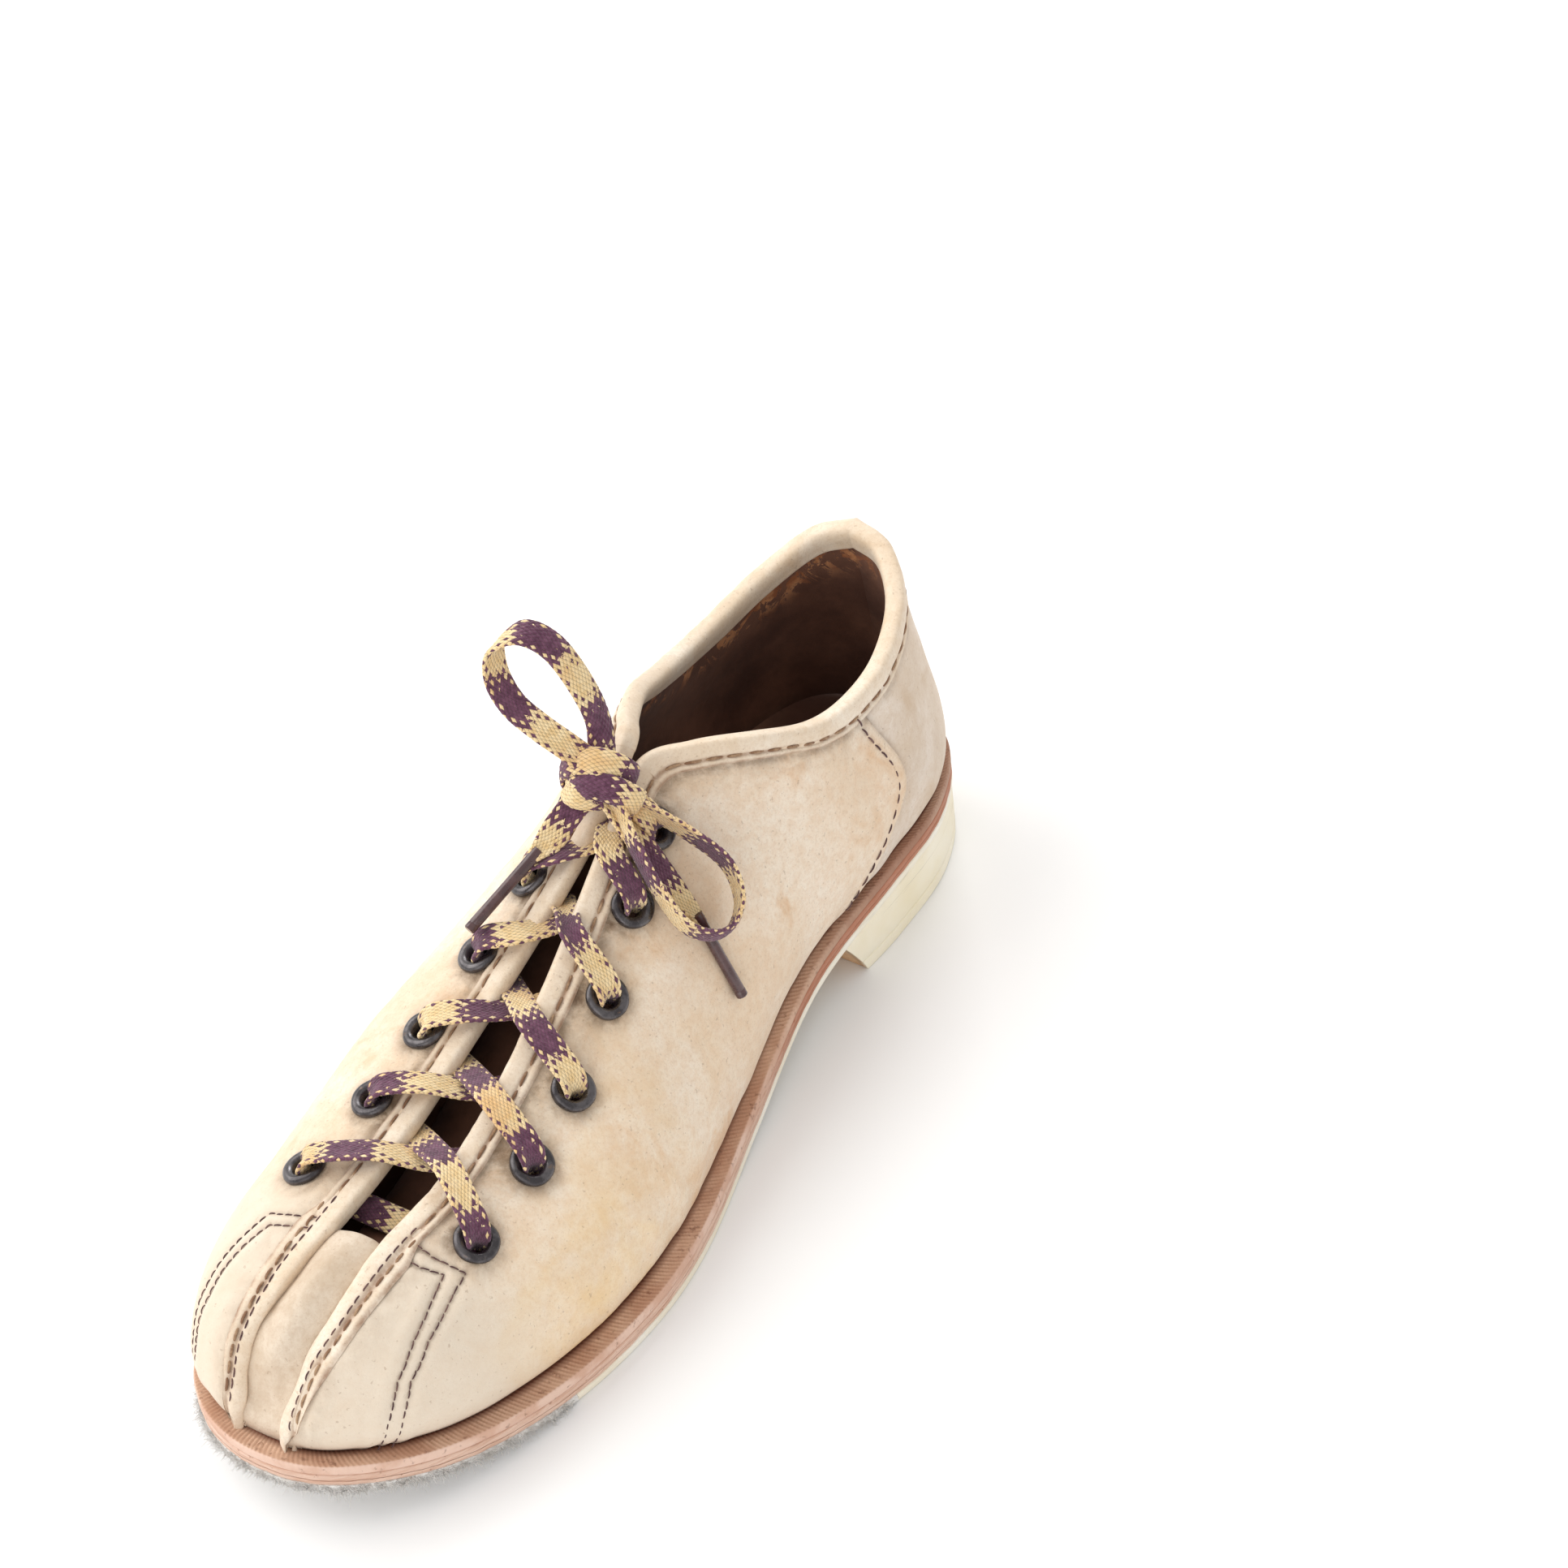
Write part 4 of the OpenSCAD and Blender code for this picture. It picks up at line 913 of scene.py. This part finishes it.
def make_quarter(side):
    a, b = np.meshgrid(graded(110, 90, 1.0), np.linspace(0, 1, 90), indexing="ij")
    v = b * below_edge(side, 0.9, 2.0)
    u0 = seam_u(v) - 0.03
    u = u0 + (1 - u0) * a
    p, n = on_side(side, u, v), normal(side, u, v)
    foot = np.linalg.norm(p - p[:, :1], axis=-1)
    front = np.linalg.norm(p - on_side(side, seam_u(v), v), axis=-1) * np.where(u < seam_u(v), -1, 1)
    centre = smooth((1 - u) / 0.02)
    lift = (0.3 * wave(p, 38, 5 + side) * centre - 0.85 * (1 - smooth((front + 1) / 7))
            - 1.1 * bell(foot, 1.7) + 0.4 * bell(front - 10, 6) * centre)
    edge = (1 - v) * 3 * np.linalg.norm(controls(side, u)[3] - controls(side, u)[2], axis=-1)
    marks = {
        # painted shade: darker at the foot of the upper, where the quarter tucks under the vamp and just
        # under the binding
        "grime_and_shade": np.clip(0.5 * bell(foot, 1.8) + 0.45 * bell(front, 1.4) + 0.4 * bell(edge - 6.5, 1.8), 0, 1),
        "yellow": np.full(u.shape, 0.06), "toe": np.zeros(u.shape)}
    verts, faces = sheet_solid(p + n * lift[..., None], p - n * LEATHER_T)
    both = {key: np.concatenate([m.ravel(), m.ravel()]) for key, m in marks.items()}
    add_mesh(f"quarter_{SIDE[side]}_leather", verts, faces, quarter_skin, "quarter_leather", marks=both,
             replaces=(f"quarter_{SIDE[side]}",))


def make_lining(side):
    a, b = np.meshgrid(np.linspace(0, 1, 230), np.linspace(0, 1, 80), indexing="ij")
    u = 0.02 + 0.98 * a
    short = 8 * (1 - smooth((u - 0.2) / 0.03))
    v = 0.02 + b * (below_edge(side, u, 3.6 + short) - 0.02)
    p, n = on_side(side, u, v), normal(side, u, v)
    edge = (1 - v) * 3 * np.linalg.norm(controls(side, u)[3] - controls(side, u)[2], axis=-1)
    ripple = 0.16 * wave(p, 17, 21 + side) * (1 - bell(eyelet_distance(side, p), 8))
    rim = (1.0 if side == INNER else 0.75) * bell(edge - 8, 5) * smooth((p[..., 1] - 34) / 30)
    verts, faces = sheet_solid(p - n * LINING_DEPTH, p - n * (UPPER_T + ripple)[..., None], holes(side, p))
    add_mesh(f"lining_{SIDE[side]}_leather", verts, faces, lining_skin, "lining_leather",
             marks={"rim": np.tile(rim.ravel(), 2)}, replaces=(f"lining_{SIDE[side]}",))


for side in SIDE:
    make_vamp(side)
    make_quarter(side)
    make_lining(side)


def wrapped(u0, count):
    """Places round the back of the heel: side and u for each step from lateral to medial."""
    steps = np.linspace(-1, 1, 2 * count + 1)
    return [(OUTER if x <= 0 else INNER, u0 + (1 - u0) * (1 - abs(x))) for x in steps]


places = wrapped(0.973, 16)
strip_v = np.linspace(0.0, 1, 90) * below_edge(OUTER, 1.0, 2.0)
strip_p = np.array([on_side(s, u, strip_v) for s, u in places])
strip_n = np.array([normal(s, min(u, 0.998), strip_v) for s, u in places])
from_side = np.minimum(np.linalg.norm(strip_p - strip_p[:1], axis=-1),
                       np.linalg.norm(strip_p - strip_p[-1:], axis=-1))
strip_h = 1.05 - rounded(from_side, 0.9) + 0.08 * wave(strip_p, 14, 40) - 0.22 * bell(from_side - 2.2, 0.6)
verts, faces = sheet_solid(strip_p + strip_n * strip_h[..., None], strip_p + strip_n * 0.05)
# painted shade: darker along the strip's edges and in its groove
strip_marks = np.clip(0.5 * bell(from_side, 0.8) + 0.3 * bell(from_side - 2.2, 0.5), 0, 1)
add_mesh("back_strip_leather", verts, faces, quarter_skin, "quarter_leather", replaces=("back_strip",),
         marks={"grime_and_shade": np.tile(strip_marks.ravel(), 2), "yellow": np.full(strip_marks.size * 2, 0.1)})
for j, seed in ((4, 50), (-5, 51)):
    sew("brown", (strip_p + strip_n * 0.95)[j], strip_n[j], length=2.8, gap=0.7, radius=0.26, seed=seed)

TOE_DROP = np.array([0, -0.9, -3.8])    # from the tip of the top edges down into the welt

# Toe plug: puckered leather that swells between the bindings, its rear edge free over the toes
PLUG_T, PLUG_REAR_U, PLUG_TUCK, STAY_DEPTH = 1.5, 0.205, 4.5, 1.6
plug_a, across = np.linspace(0, 1, 110), np.linspace(0, 1, 70)
plug_u = 0.015 + (PLUG_REAR_U - 0.015) * plug_a
tucked, at_edge = {}, {}
for side in SIDE:
    v = below_edge(side, plug_u, PLUG_TUCK)
    tucked[side] = on_side(side, plug_u, v) - normal(side, plug_u, v) * STAY_DEPTH
    at_edge[side] = on_side(side, plug_u, 1) - normal(side, plug_u, 0.999) * STAY_DEPTH
plug_up = unit(normal(INNER, plug_u, 0.99) + normal(OUTER, plug_u, 0.99))
swell = 3.0 * smooth(4 * plug_a)[:, None]
plug_mid = (at_edge[INNER] + at_edge[OUTER]) / 2 + plug_up * swell
net = np.stack([tucked[INNER], at_edge[INNER], plug_mid, at_edge[OUTER], tucked[OUTER]], 1)
plug = np.array([along(row, across) for row in net])
inside = smooth((0.5 - np.abs(across - 0.5)) / 0.22)[None] * smooth(plug_a / 0.15)[:, None]
pucker = (0.4 * np.sin(across * 15 + 3 * plug_a[:, None] ** 2) + 0.8
          * np.sin(across * 7 + 5.2 - 2 * plug_a[:, None])
          + 0.5 * wave(plug * [1, 0.6, 1], 17, 44)) * inside * (0.35 + 0.65 * plug_a[:, None])
rear = np.linalg.norm(plug - plug[-1:], axis=-1)
dip = 1.6 * smooth((across - 0.62) / 0.2) * bell(rear, 7) + 0.5 * bell(rear, 2.5)
outer = plug + plug_up[:, None] * (pucker - dip - rounded(rear, 0.6))[..., None]
inner = plug - plug_up[:, None] * (PLUG_T + dip[..., None] * 0.8 - 0.5 * pucker[..., None])
side_gap = np.minimum(np.linalg.norm(plug - at_edge[INNER][:, None], axis=-1),
                      np.linalg.norm(plug - at_edge[OUTER][:, None], axis=-1))
front = np.linspace(1, 0, 9)[:-1, None, None]
front_drop = front * [0, -2.6, -8.5] + np.sin(np.pi * front) * [0, -1.7, 0.5]
outer, inner = (np.concatenate([g[:1] + front_drop, g]) for g in (outer, inner))
side_gap, rear, pucker = (np.concatenate([np.repeat(g[:1], 8, 0), g]) for g in (side_gap, rear, pucker))
verts, faces = sheet_solid(outer, inner)
# painted shade: darker where the plug tucks under the bindings, at its rear edge and in the hollows of its
# puckers
plug_marks = np.clip(0.5 * bell(side_gap, 2.0) + 0.3 * bell(rear, 1.5) + 0.15 * (pucker < -0.2), 0, 1)
add_mesh("toe_plug_leather", verts, faces, toe_skin, "vamp_leather", replaces=("toe_plug",),
         marks={"grime_and_shade": np.tile(plug_marks.ravel(), 2)})

# Bindings: (out from the leather, below the edge); a rolled fold, a sewn groove and a raw lip
BINDING = [
    (0.02, 5.9), (0.42, 5.75), (0.6, 5.2), (0.45, 4.6), (0.1, 4.1), (0.12, 3.65), (0.52, 3.15), (0.72, 2.3),
    (0.8, 1.1), (0.72, -0.1), (0.35, -0.85), (-0.4, -1.3), (-1.6, -1.5), (-2.9, -1.4), (-3.8, -0.9),
    (-4.3, 0.1), (-4.45, 1.6), (-4.3, 3.4), (-4.25, 4.9), (-4.0, 5.2), (-3.65, 5.0), (-3.6, 2.0), (-2.4, 0.6),
    (-1.0, 0.5), (-0.3, 1.4), (-0.15, 3.5)]
section = np.array(BINDING)
closed = np.vstack([section[-1:], section, section[:2]])
k = np.arange(len(section) * 3)
i, f = k // 3, (k % 3)[:, None] / 3
section = spline(closed[i], closed[i + 1], closed[i + 2], closed[i + 3], f)


def binding_rings(places, extra=0.0, seed=1):
    sides = np.array([s for s, _ in places])
    u = np.array([x for _, x in places])
    h, w = section[:, 0] * UPPER_T / 3.7, section[:, 1]
    wide = 1 + 0.75 * (1 - smooth((u - 0.2) / 0.03))
    w = np.where(w > 3, 3 + (w - 3) * wide[:, None], w)
    rings = np.zeros((len(u), len(section), 3))
    for s in SIDE:
        pick = sides == s
        if pick.any():
            rings[pick] = edge_lift(s, u[pick][:, None], w[pick], h[None])
    if u[0] < 0.05:
        drop = np.linspace(1, 0, 5)[:-1, None, None] * TOE_DROP
        rings = np.concatenate([rings[:1] + drop, rings])
    middle = rings.mean(axis=1, keepdims=True)
    outer_part = (section[:, 0] > -1.5)[None, :, None]
    rings = rings + unit(rings - middle) * (extra + 0.14 * wave(rings, 9, seed)[..., None] * outer_part)
    # painted shade mixed with grime: darker in the sewn groove and along the lip where the binding meets the
    # leather
    groove = bell(section[:, 1] - 3.85, 0.6) * (section[:, 0] > 0)
    lip = bell(section[:, 1] - 5.8, 0.5) * (section[:, 0] > 0)
    grime_and_shade = np.clip(0.75 * groove + 0.8 * lip, 0, 1)[None] * np.ones((len(rings), 1))
    return rings, grime_and_shade


def make_binding(name, places, node, extra, seed):
    rings, grime_and_shade = binding_rings(places, extra, seed)
    verts, faces = rings_solid(rings)
    add_mesh(name, verts, faces, binding_skin, "binding_leather", marks={"grime_and_shade": grime_and_shade}, replaces=(node,),
             sharp=75)


for side in SIDE:
    make_binding(f"facing_binding_{SIDE[side]}_strip",
                 [(side, u) for u in np.linspace(0.006, THROAT_U + 0.004, 330)],
                 f"facing_binding_{SIDE[side]}", 0.0, 60 + side)
    u = np.linspace(0.235, THROAT_U - 0.004, 200)
    sew("brown", edge_lift(side, u, 3.85, 0.18), normal(side, u, 0.97), length=4.3, gap=0.8, radius=0.34,
        seed=62 + side)
    u = np.linspace(0.02, 0.232, 120)
    sew("dark", edge_lift(side, u, 3.2, 0.5), normal(side, u, 0.95), length=2.6, gap=0.35, radius=0.22,
        seed=64 + side)
    u = np.linspace(0.03, 0.226, 120)
    sew("brown", edge_lift(side, u, 5.1, 0.24), normal(side, u, 0.92), length=3.4, gap=0.5, radius=0.36,
        seed=66 + side)
collar = wrapped(THROAT_U - 0.004, 260)
make_binding("collar_binding_strip", collar, "collar_binding", 0.12, 70)
line, line_n = [], []
for s, u in collar[6:-6]:
    line.append(edge_lift(s, u, 3.85, 0.25))
    line_n.append(normal(s, min(u, 0.998), 0.97))
sew("brown", np.array(line), np.array(line_n), length=4.6, gap=0.8, radius=0.4, seed=72)

# Tongue: an arched tongue of lining leather, padded a little, with a turned edge
TONGUE = [[-93, 38, 8], [-78, 36, 10], [-60, 36, 12], [-40, 40, 14], [-20, 46, 15], [0, 53, 16],
          [20, 62, 16], [38, 71, 14]]
row = along(TONGUE, np.linspace(0, 1, 120))
x = np.sin(np.linspace(-np.pi / 2, np.pi / 2, 50))[None] * row[:, 2:3]
centre = np.stack([x - 2, np.broadcast_to(row[:, 0:1], x.shape), row[:, 1:2] - 0.028 * x * x], -1)
edge = np.minimum(row[:, 2:3] - np.abs(x), np.minimum(row[:, 0:1] + 93, 38 - row[:, 0:1]))
half = (1.0 - 0.75 * rounded(edge, 1.2) + 0.12 * wave(centre, 15, 80))[..., None] * [0, 0, 1]
verts, faces = sheet_solid(centre + half, centre - half)
add_mesh("tongue_leather", verts, faces, lining_skin, "lining_leather", body="tongue", replaces=("tongue",))


# ---------------------------------------------------------------- eyelets
RIM = [(2.6, -4.3), (4.6, -4.3), (4.6, -3.75), (3.15, -3.7), (3.1, -0.4), (5.1, 0.0), (5.42, 0.3),
       (5.5, 0.75), (5.36, 1.25),
       (4.95, 1.68), (4.35, 1.92), (3.75, 1.86), (3.2, 1.58), (2.82, 1.12), (2.64, 0.5), (2.6, -0.4)]
for side in SIDE:
    for i in range(6):
        a = np.arange(56) * 2 * np.pi / 56
        n = EYELET_N[side][i]
        x = unit(np.cross(n, [0.2, 1, 0.1]))
        y = np.cross(n, x)
        dent = 1 + 0.012 * np.sin(2 * a + 3 * i) + 0.008 * np.sin(5 * a + i)
        rings = np.array([EYELET_P[side][i] + n * z + (r * dent)[:, None]
                          * (np.cos(a)[:, None] * x + np.sin(a)[:, None] * y)
                          for r, z in RIM])
        verts, faces = rings_solid(rings, closed=True)
        add_mesh(f"eyelet_{SIDE[side]}_{i + 1}_ring", verts, faces, enamel, "eyelet_enamel",
                 replaces=(f"eyelet_{SIDE[side]}_{i + 1}",), sharp=40)


# ---------------------------------------------------------------- sole
def sole_rings(profile, count):
    """Rings of the outline, one per (inset, height above the underside) of the profile."""
    s = np.arange(count) * N_SOLE / count
    rings = []
    for inset, z in profile:
        depth = np.asarray(inset(s) if callable(inset) else inset)[..., None]
        xy = outline(s) - outward(s) * depth
        rings.append(np.concatenate([xy, (base_z(xy[:, 1]) + z)[:, None]], 1))
    return np.array(rings), s


def strip_caps(first, last, count):
    """Faces that close the first and last ring with strips from side to side."""
    half = count // 2
    faces = []
    for start, turn in ((first, 1), (last, -1)):
        k = np.arange(1, half - 1)
        rows = [list(map(int, (start + a, start + a + 1, start + count - a - 1, start + count - a)))[::turn]
                for a in k]
        rows += [[start, start + 1, start + count - 1][::turn],
                 [start + half - 1, start + half, start + half + 1][::turn]]
        faces += rows
    return faces


def slab(profile, count):
    """Closed sole layer of that profile: its rings, its faces and the places round the outline."""
    rings, s = sole_rings(profile, count)
    m = len(profile)
    idx = np.arange(m * count).reshape(m, count)
    nxt = np.roll(idx, -1, axis=1)
    faces = list(quads(idx[:-1], nxt[:-1], nxt[1:], idx[1:])) + strip_caps(0, (m - 1) * count, count)
    return rings, faces, s


def cut_piece(obj, y, keep_rear):
    """Cuts a sole layer across at y and closes the cut."""
    bm = bmesh.new()
    bm.from_mesh(obj.data)
    bmesh.ops.bisect_plane(bm, geom=bm.verts[:] + bm.edges[:] + bm.faces[:], plane_co=(0, y * MM, 0),
                           plane_no=(0, 1, 0), clear_inner=keep_rear, clear_outer=not keep_rear)
    bmesh.ops.holes_fill(bm, edges=[e for e in bm.edges if e.is_boundary], sides=0)
    bmesh.ops.recalc_face_normals(bm, faces=bm.faces)
    bm.to_mesh(obj.data)
    bm.free()
    obj.data.set_sharp_from_angle(angle=math.radians(50))


LAYER_COUNT, MIDSOLE_COUNT, WELT_COUNT = 660, 880, 3600     # points round each ring
rings, faces, s = slab([(4, 0), (1.2, 0), (0.5, 0.1), (0.12, 0.4), (0.0, 0.9), (0.0, 1.6), (0.1, 2.2),
                        (0.4, 2.45), (4, 2.48)], LAYER_COUNT)
cut_piece(add_mesh("rubber_sole_layer", rings, faces, rubber_skin, "white_rubber",
                   replaces=("rubber_sole",)), SLIDE_END_Y, True)
fray = 0.25 * wave(rings.reshape(-1, 3), 5, 90).reshape(rings.shape[:2])[..., None]
frayed = rings + np.concatenate([outward(s)[None] * fray, np.zeros_like(fray)], -1)
cut_piece(add_mesh("slide_sole_layer", frayed, faces, suede_skin, "suede", replaces=("slide_sole",)),
          SLIDE_END_Y - 0.15, False)

MIDSOLE = [(4, 2.5), (0.7, 2.5), (0.2, 2.6), (0.03, 2.9), (0.0, 3.35), (0.05, 3.9), (0.34, 4.02),
           (0.05, 4.14), (0.0, 4.7), (0.0, 5.3), (0.08, 5.7), (0.35, 5.93), (4, 5.98)]
SPLIT_ROW = 6               # row of the profile that lies in the split
rings, faces, s = slab(MIDSOLE, MIDSOLE_COUNT)
rough = 0.1 * wave(rings.reshape(-1, 3), 6, 92).reshape(rings.shape[:2])[..., None]
rings = rings + np.concatenate([outward(s)[None] * rough, np.zeros_like(rough)], -1)
near_split = np.zeros(rings.shape[:2])
near_split[SPLIT_ROW] = np.clip(0.75 + 0.8 * wave(rings[SPLIT_ROW], 45, 93), 0, 1)
waist = smooth(rings[..., 1] / 45)
add_mesh("midsole_edge", rings, faces, midsole_skin, "sole_leather", replaces=("midsole",),
         marks={"split": near_split, "waist": 0.75 * waist})


def inward(share):
    """Inset of a share of the way from the edge of the sole to just under the upper."""
    return lambda s: share * (feather_inset(s) + 1.6)


WELT = [(inward(1.0), 6.05), (0.4, 6.03), (0.1, 6.2), (0.0, 6.6), (0.0, 7.6), (0.04, 8.3), (0.18, 8.75),
        (0.5, 8.98)]
WELT += [(inward(x), 9.0) for x in (0.16, 0.24, 0.34, 0.45, 0.56, 0.68, 0.8, 0.9, 1.0)]
RIB_PITCH = 1.25
rings, s = sole_rings(WELT, WELT_COUNT)
run = np.concatenate([[0], np.cumsum(np.linalg.norm(np.diff(outline(s), axis=0), axis=1))])
welt_row = np.arange(len(WELT))
top_part = np.clip((welt_row - 4) / 3, 0, 1)
lane = welt_row * 0.55
ribs = np.cos(2 * np.pi * (run[None] + 0.5 * lane[:, None]) / RIB_PITCH)
ribs = ribs * (0.75 + 0.25 * np.cos(2.1 * lane)[:, None])
strength = top_part[:, None] * np.clip(0.75 + 0.3 * wave(rings[8], 22, 95), 0.2, 1.1)[None]
rings[..., 2] += (0.17 * ribs * strength) - 0.1 * strength
heel_dark = smooth((rings[..., 1] - 20) / 50)
on_edge = ((welt_row > 0) & (welt_row < 7))[:, None] * (1 - smooth((rings[..., 1] - 5) / 40))
# painted shade: the band of the welt just under the upper is darkened
shade_under_upper = np.clip((welt_row - 12) / 3, 0, 1)[:, None] * np.ones((1, WELT_COUNT))
verts, faces = rings_solid(rings, closed=True)
# painted shade in the valleys between the welt's ribs
add_mesh("welt_strip", verts, faces, welt_skin, "welt_leather", replaces=("welt",),
         marks={"rib_valley_shade": np.clip(0.5 - 0.6 * ribs, 0, 1) * strength, "edge": on_edge,
                "dark": np.clip(0.42 * heel_dark + 0.9 * shade_under_upper, 0, 1)})


HEEL_WALL, HEEL_BREAST = 170, 42        # points round the wall of a heel piece and across its breast


def heel_piece(name, node, z0, z1, profile):
    """Part of the heel between two heights; profile gives (inset, share of the height) rows."""
    rings, lines = [], []
    fine = np.linspace(7, 11, 400)
    fine_m = np.linspace(11, 15, 400)
    for inset, share in profile:
        z = z0 + (z1 - z0) * share
        front = BREAST_Y[1] + (BREAST_Y[0] - BREAST_Y[1]) * z / HEEL_H
        s0 = np.interp(front, outline(fine)[:, 1], fine)
        s1 = np.interp(-front, -outline(fine_m)[:, 1], fine_m)
        s = np.linspace(s0, s1, HEEL_WALL)
        wall = outline(s) - outward(s) * (0.3 + inset)
        wall[:, 1] = np.maximum(wall[:, 1], front + inset)
        x = np.linspace(0, 1, HEEL_BREAST)[1:-1, None]
        breast = wall[-1] * (1 - x) + wall[0] * x + [0, 1] * (1.6 * np.sin(np.pi * x))
        xy = np.vstack([wall, breast])
        ceiling = np.minimum(base_z(xy[:, 1]), HEEL_H) if z1 >= HEEL_H else np.full(len(xy), z1)
        rings.append(np.column_stack([xy, z0 + (ceiling - z0) * share]))
    rings = np.array(rings)
    on_breast = np.zeros(rings.shape[:2])
    on_breast[:, HEEL_WALL:] = 1
    low = np.clip(1 - (rings[..., 2] - z0) / 9, 0, 1)
    place, total = np.arange(rings.shape[1]), rings.shape[1]
    corner = np.minimum(np.abs(place - (HEEL_WALL - 1)), np.abs(place - total))
    line = 0.8 * bell(corner, 1.5)[None] * np.ones_like(low)
    verts, faces = rings_solid(rings)
    add_mesh(name, verts, faces, heel_skin, "heel_rubber", replaces=(node,),
             marks={"amber": on_breast * (0.3 + 0.5 * low), "line": line})


heel_piece("heel_block_lift", "heel_block", TOP_PIECE_T + 0.05, HEEL_H,
           [(0.45, 0), (0.15, 0.01), (0.0, 0.04), (0, 0.3), (0.05, 0.6), (0, 0.85), (0.05, 0.97),
            (0.2, 0.995)])
heel_piece("heel_top_piece_lift", "heel_top_piece", 0.0, TOP_PIECE_T - 0.05,
           [(0.7, 0), (0.25, 0.04), (0.05, 0.15), (0, 0.4), (0, 0.8), (0.1, 0.93), (0.4, 1.0)])

# Insole and sock, dished a little towards their edges: piece, node, front, both heights and inset
PAST_TOE = -200
BOARDS = (("insole_board", "insole", PAST_TOE, SOLE_T + GAP, SOLE_T + 2.5, UPPER_T + 0.5),
          ("sock_liner_sheet", "sock_liner", -10, SOLE_T + 2.52, SOLE_T + 3.6, UPPER_T + 1.5))
for name, node, y0, z0, z1, more in BOARDS:
    s = np.linspace(0.3, 10.94, 240)
    other = N_SOLE - s
    lat = outline(s) - outward(s) * (feather_inset(s) + more)[:, None]
    med = outline(other) - outward(other) * (feather_inset(other) + more)[:, None]
    if y0 > PAST_TOE:
        pick = np.minimum(lat[:, 1], med[:, 1]) > y0
        lat, med = lat[pick], med[pick]
    t = np.sin(np.linspace(0, np.pi / 2, 60)) ** 2
    xy = lat[:, None] * (1 - t[None, :, None]) + med[:, None] * t[None, :, None]
    rise = 0.9 * (1 - np.sin(np.pi * t)) ** 3 * smooth((xy[..., 1] + 100) / 40)
    top = np.concatenate([xy, (base_z(xy[..., 1]) + z1 + rise)[..., None]], -1)
    low = np.concatenate([xy, (base_z(xy[..., 1]) + z0)[..., None]], -1)
    verts, faces = sheet_solid(top, low)
    add_mesh(name, verts, faces, insole_skin, "insole_leather", replaces=(node,))

# Loose suede fibres along the edge of the slide sole
rng = np.random.default_rng(7)
count = 7000
s = rng.uniform(-4.0, 3.3, count) % N_SOLE
xy = outline(s) - outward(s) * 0.3
keep = xy[:, 1] < SLIDE_END_Y - 0.5
s, xy = s[keep], xy[keep]
count = len(s)
out = np.concatenate([outward(s), np.zeros((count, 1))], 1)
root = np.concatenate([xy, (base_z(xy[:, 1]) + rng.uniform(0.2, 2.3, count))[:, None]], 1)
clump = 0.5 + 0.5 * wave(root, 9, 97)
lean = unit(out + rng.normal(0, 0.55, (count, 3)) - [0, 0, 0.25])
reach = (0.5 + 1.5 * rng.random(count) ** 2) * (0.6 + 0.7 * np.clip(clump, 0, 1))
steps = np.linspace(0, 1, 5)[None, :, None]
curl = rng.normal(0, 0.45, (count, 1, 3))
paths = root[:, None] + lean[:, None] * reach[:, None, None] * steps + curl * reach[:, None, None] * steps**2
paths[..., 2] = np.maximum(paths[..., 2], 0.1)
verts, faces = tubes(paths, 0.085 * np.array([1, 0.95, 0.85, 0.7, 0.4]), [0.1, 0.2, 1], 3)
add_mesh("slide_sole_fibres", verts, faces, suede_skin, "suede", sharp=180)

for kind, skin in (("dark", thread_dark), ("brown", thread_brown)):
    verts, faces, total = [], [], 0
    for paths, n, radius in threads[kind]:
        v, f = tubes(paths, radius * np.array([0.55, 0.95, 1, 1.03, 1, 0.95, 0.55]), n, 7, 0.8)
        verts.append(v)
        faces += [x + total for x in f]
        total += len(v)
    add_mesh(f"stitches_{kind}", np.vstack(verts), faces, skin, "binding_leather", sharp=80)

# CAD nodes that stay, all hidden inside, get the finish of what they are
for name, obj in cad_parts.items():
    if not obj.hide_render:
        key = next((k for k in INNER_SKINS if name.startswith(k)), "board")
        obj.data.materials.clear()
        obj.data.materials.append(INNER_SKINS[key])

# ---------------------------------------------------------------- floor and light
floor_mesh = bpy.data.meshes.new("floor")
floor_mesh.from_pydata([(-6, -6, 0), (6, -6, 0), (6, 6, 0), (-6, 6, 0)], [], [(0, 1, 2, 3)])
floor = bpy.data.objects.new("floor", floor_mesh)
paper = Shade("floor_paper", Roughness=0.9, Specular_IOR_Level=0.1)
paper.bsdf.inputs["Base Color"].default_value = (0.93, 0.93, 0.935, 1)
floor_mesh.materials.append(paper.mat)
bpy.context.scene.collection.objects.link(floor)

scene = bpy.context.scene
scene.view_settings.view_transform = "Standard"
world = bpy.data.worlds.new("studio")
world.use_nodes = True
world.node_tree.nodes["Background"].inputs["Color"].default_value = (1.0, 0.99, 0.975, 1)
world.node_tree.nodes["Background"].inputs["Strength"].default_value = 0.74
scene.world = world


def area_light(name, position, size, power, colour=(1, 1, 1)):
    """Square studio light that faces the shoe; position and size in metres, power in watts."""
    data = bpy.data.lights.new(name, "AREA")
    data.size, data.energy, data.color = size, power, colour
    obj = bpy.data.objects.new(name, data)
    obj.location = position
    obj.rotation_euler = (Vector((0, 0, 0.05)) - Vector(position)).to_track_quat("-Z", "Y").to_euler()
    scene.collection.objects.link(obj)


area_light("key", (-1.3, -0.35, 1.3), 1.9, 25, (1.0, 0.98, 0.95))
area_light("rim", (-0.5, 1.4, 1.2), 0.8, 12)
area_light("fill", (0.5, -1.9, 0.8), 1.6, 10, (1.0, 0.98, 0.96))
